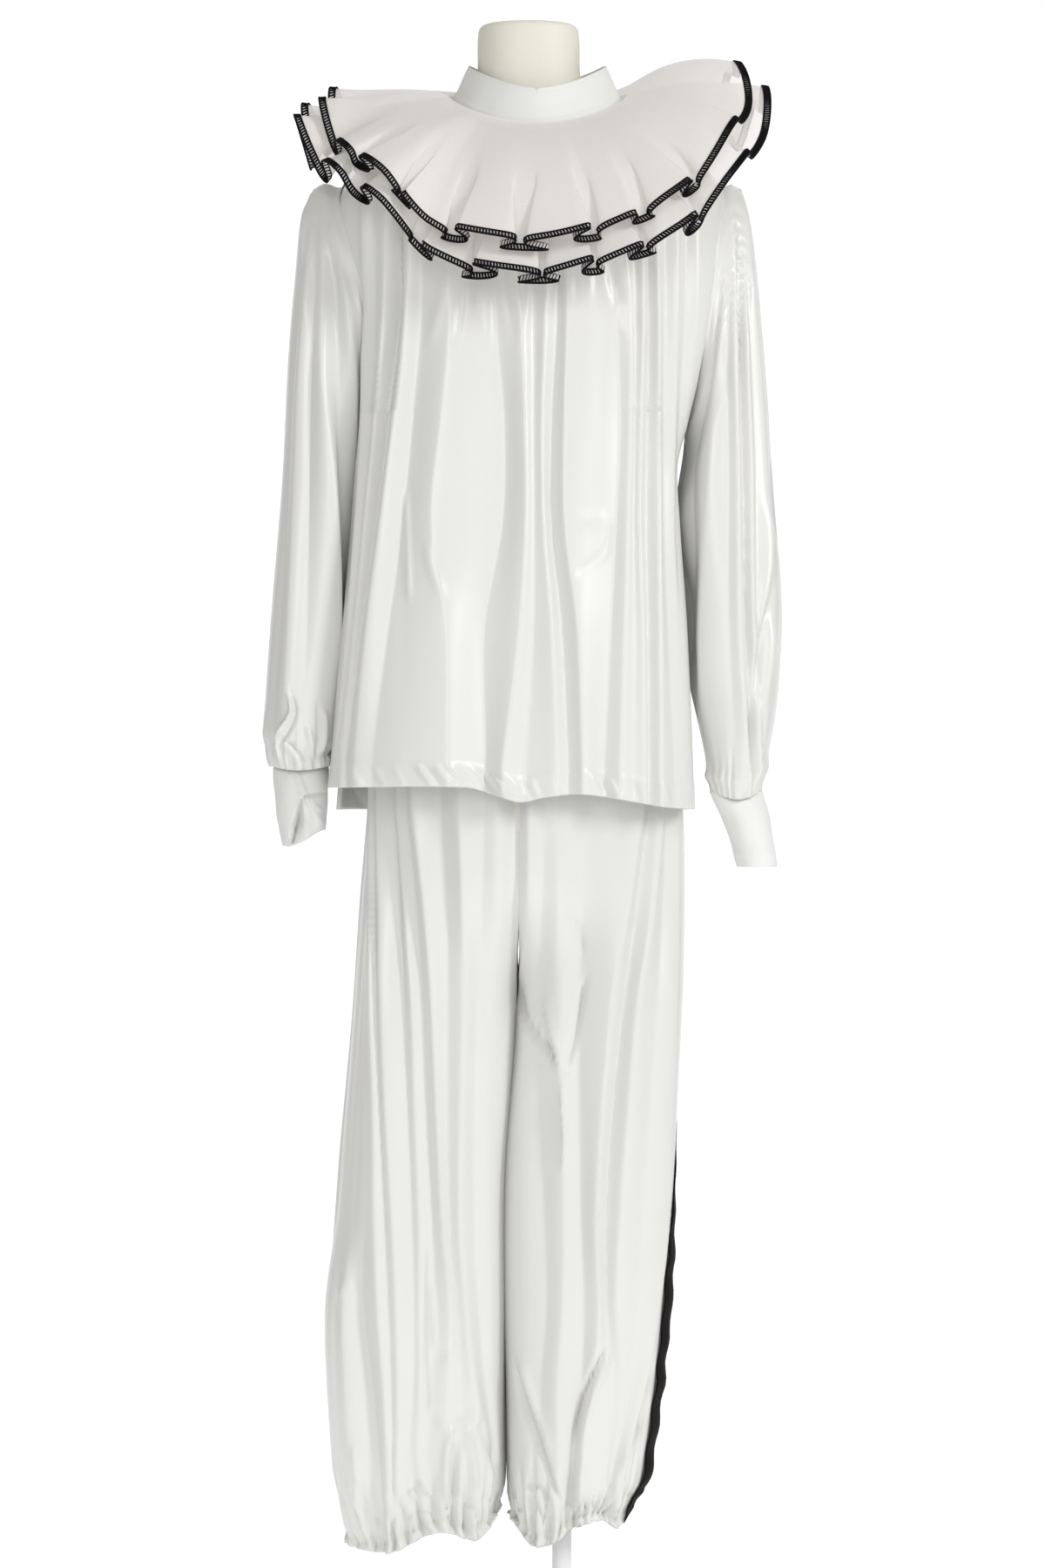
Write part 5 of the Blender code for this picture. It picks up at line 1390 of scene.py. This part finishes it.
def leg_row(side, name, face, z, count, marks):
    """A trouser panel at a level, from seam to seam."""
    sign = 1.0 if face == "front" else -1.0
    seam = seam_turn(side, z)
    line = [leg_point(side, seam + (sign - seam) * k / LEG_STEPS, z) for k in range(LEG_STEPS + 1)]
    seam_last = (side < 0) != (face == "front")
    if seam_last:
        line.reverse()
    up = z - LEG_HEM

    def rise(i, p):
        from_seam = (count - i if seam_last else i) / count
        edge = ease(UNDER_STRIPE * 0.6, UNDER_STRIPE, from_seam) * ease(1.0, 0.96, from_seam)
        sunk = -SEAM_SINKS * ease(0.012, 0.0, min(i, count - i) / count)
        folds = lifted(f"leg_{face}_{name}", p.x, z) + ripple(p)
        tucked = gathers(marks, i / count, max(up - CASING, 0.0), HEM_TUCK, loop=False)
        tucked *= ease(-0.012, 0.0, up - CASING)
        sway = 2.0 * noise.noise(Vector((p.x * 40.0, side, 0.0)))
        frill = FRILL * math.sin(math.pi * FRILL_WAVES * i / count + side + sway) * ease(CASING, 0.0, up)
        casing = -CASING_SINKS * bell(up, CASING, 0.005)
        crinkled = crinkle(i / count, 5.0 * side + sign, z) * ease(0.060, 0.016, up)
        return edge * (folds + tucked + crinkled + frill) + casing + sunk

    deep = UNDERLAP["right" if seam_last else "front"]
    row = turned_in(moved_out(even(line, count), rise), True, True, deep)
    return [Vector((p.x, p.y + sign * centre_dip(face, p.x, z), z + hem_lift(side, p.x, z))) for p in row]


def make_trousers():
    plain = LEG_HEM + GATHERED
    heights = [LEG_HEM + GATHERED * k / GATHERED_ROWS for k in range(GATHERED_ROWS)]
    heights += [plain + (LEG_TOP - plain) * k / LEG_ROWS for k in range(LEG_ROWS + 1)]
    for side, name in ((-1, "left"), (1, "right")):
        for seed, face in enumerate(("front", "back")):
            marks = gather_marks(HEM_GATHERS, 31 + 2 * side + seed, shortest=0.020, longest=0.110)
            rows = [leg_row(side, name, face, z, LEG_POINTS[face], marks) for z in heights]
            panel = f"trouser_{face}_{name}"
            piece = cloth(f"{panel}_cloth", panel, rows, "white_satin", SATIN)
        make_stripe(side, name, heights)


def make_stripe(side, name, heights):
    rows = []
    for z in heights:
        leg = smooth_at(LEGS[side], z)
        spread = STRIPE_WIDTH / 2 / ((leg.outer - leg.middle) / 2 * HALF_ROUND)
        middle = seam_turn(side, z)
        row = [leg_point(side, middle + spread * k / 6, z) for k in range(-6, 7)]
        if side > 0:
            row.reverse()
        row = [Vector((p.x, p.y, z + hem_lift(side, p.x, z))) for p in row]
        wavy = STRIPE_WAVE * (1.0 + math.sin(z * 150.0))
        wavy += 2 * STRIPE_WAVE * max(noise.noise(Vector((0.0, side, z * 32.0))), 0.0)
        lift = STRIPE_LIFT + (STRIPE_LIFT / 2 + wavy) * seam_forward(side, z)
        rows.append(moved_out(row, lambda i, p: lift + ripple(p)))
    piece = cloth(f"stripe_{name}_ribbon", f"stripe_{name}", rows, "black_ribbon", RIBBON)


def make_waistband():
    rows, count, ribs = [], 240, 60
    for k in range(13):
        z = WAIST_LOW + (WAIST_HIGH - WAIST_LOW) * k / 12
        row = torso_ring(smooth_at(TORSO, z), z, count, WAIST_ROOM, 2.3)
        deep = 0.0008 * math.sin(math.pi * k / 12)
        rows.append(moved_out(row, lambda i, p: deep * math.cos(2 * math.pi * ribs * i / count), True))
    piece = cloth("waistband_cloth", "waistband", rows, "white_satin", BAND, closed=True)


# ---- form and stand -------------------------------------------------------------------------------
def torso_ring(body, z, count=128, room=0.0, full=2.2, size=1.0):
    """The torso's ring at a level, with room round it or shrunk to a size."""
    places = (oval(2.0 * math.pi * i / count, body.half + room, body.front + room, body.back + room, full)
              for i in range(count))
    return [Vector((body.centre + x * size, y * size, z)) for x, y in places]


def capped(piece, rings):
    """Closes both ends of a lofted solid with flat faces."""
    bm = bmesh.new()
    bm.from_mesh(piece.data)
    bm.verts.ensure_lookup_table()
    count = len(rings[0])
    bm.faces.new([bm.verts[i] for i in range(count)][::-1])
    last = count * (len(rings) - 1)
    bm.faces.new([bm.verts[last + i] for i in range(count)])
    bmesh.ops.recalc_face_normals(bm, faces=bm.faces)
    bm.to_mesh(piece.data)
    bm.free()
    piece.data.set_sharp_from_angle(angle=math.radians(60))


def make_form():
    low, high, top = TORSO[0].z, TORSO[-2].z, TORSO[-1].z
    heights = [low + (high - low) * k / 110 for k in range(111)]
    rings = [torso_ring(smooth_at(TORSO, z), z) for z in heights]
    for k in range(1, 9):
        turn = math.pi / 2 * k / 8
        size = 1.0 - 0.13 * (1.0 - math.cos(turn))
        rings.append(torso_ring(smooth_at(TORSO, high), high + (top - high) * math.sin(turn), size=size))
    piece = cloth("form_torso_cover", "form_torso", rings, "cream_cover", closed=True)
    capped(piece, rings)


def turned(name, node, profile, centre, count=72):
    """A turned steel solid from (radius, z) pairs."""
    angles = [2 * math.pi * i / count for i in range(count)]
    rings = [[Vector((centre[0] + r * math.cos(a), centre[1] + r * math.sin(a), z)) for a in angles]
             for r, z in profile]
    piece = cloth(name, node, rings, "white_painted_steel", closed=True)
    capped(piece, rings)


def make_stand():
    low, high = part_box("pole")
    turned("pole_tube", "pole", [(POLE_RADIUS, low[2]), (POLE_RADIUS, high[2])], POLE_AT)
    radius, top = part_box("base")[1][0] - BASE_BEVEL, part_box("base")[1][2]
    profile = []
    for start, centre_z in ((-90, BASE_BEVEL), (0, top - BASE_BEVEL)):
        for k in range(7):
            angle = math.radians(start + 15 * k)
            profile.append((radius + BASE_BEVEL * math.cos(angle), centre_z + BASE_BEVEL * math.sin(angle)))
    turned("base_plate", "base", profile, (0.0, 0.0), 144)


# ---- studio ---------------------------------------------------------------------------------------
SWEEP_HALF, SWEEP_FRONT, SWEEP_BACK, SWEEP_TOP = 1.5, -6.0, 2.2, 4.5
SWEEP_RADIUS, SWEEP_FLOOR, SWEEP_STEPS = 1.0, -0.0005, 24
VIEW_HEIGHT, VIEW_DISTANCE, VIEW_MIDDLE = 1.530, 4.4, (-0.0025, 0.845025)


def make_sweep():
    white, grey = (1.0, 1.0, 1.0, 1.0), (0.35, 0.35, 0.35, 1.0)
    finish = Finish("pale_backdrop", Roughness=0.9, Specular_IOR_Level=0.0, Base_Color=grey,
                    Emission_Color=white, Emission_Strength=0.85)
    # Seen from behind the sweep is clear, so that the back of the costume shows.
    behind = finish.node("ShaderNodeNewGeometry", output="Backfacing")
    finish.give("Alpha", 1.0 - behind)
    start = SWEEP_BACK - SWEEP_RADIUS
    profile = [(SWEEP_FRONT, SWEEP_FLOOR)]
    for k in range(SWEEP_STEPS + 1):
        angle = math.pi / 2 * k / SWEEP_STEPS
        up = SWEEP_RADIUS * (1 - math.cos(angle))
        profile.append((start + SWEEP_RADIUS * math.sin(angle), SWEEP_FLOOR + up))
    profile.append((SWEEP_BACK, SWEEP_TOP))
    rows = [[Vector((-SWEEP_HALF, y, z)), Vector((SWEEP_HALF, y, z))] for y, z in profile]
    shell("backdrop_sweep", rows, finish.material, 0.0)


def make_air():
    world = bpy.data.worlds.new("studio_air")
    world.use_nodes = True
    air = world.node_tree.nodes["Background"].inputs
    air["Color"].default_value = (1.0, 0.99, 0.955, 1.0)
    air["Strength"].default_value = 0.46
    bpy.context.scene.world = world


def make_lamp(name, size, power, place, target):
    data = bpy.data.lights.new(name, "AREA")
    data.shape, data.size, data.size_y, data.energy = "RECTANGLE", size[0], size[1], power
    made = bpy.data.objects.new(name, data)
    made.location = place
    made.rotation_euler = (Vector(target) - Vector(place)).to_track_quat("-Z", "Y").to_euler()
    bpy.context.scene.collection.objects.link(made)


def make_camera():
    data = bpy.data.cameras.new("camera")
    data.sensor_fit, data.sensor_height = "VERTICAL", 24.0
    data.lens = data.sensor_height * VIEW_DISTANCE / VIEW_HEIGHT
    made = bpy.data.objects.new("camera", data)
    made.location = (VIEW_MIDDLE[0], -VIEW_DISTANCE, VIEW_MIDDLE[1])
    made.rotation_euler = (math.radians(90.0), 0.0, 0.0)
    bpy.context.scene.collection.objects.link(made)
    bpy.context.scene.camera = made


make_camera()
make_sweep()
make_air()
make_lamp("key_softbox", (0.7, 1.4), 66.0, (3.1, -2.8, 2.5), (0.0, 0.0, 0.9))
make_lamp("front_softbox", (1.4, 2.0), 36.0, (-0.3, -4.3, 2.2), (0.0, 0.0, 1.25))
make_form()
make_stand()
make_tunic()
for side, name in ((-1, "left"), (1, "right")):
    make_sleeve(side, name)
    make_cuff(side, name)
make_collar()
for layer in ("lower", "upper"):
    make_ruff(layer)
make_trousers()
make_waistband()
bpy.context.scene.view_settings.view_transform = "Standard"
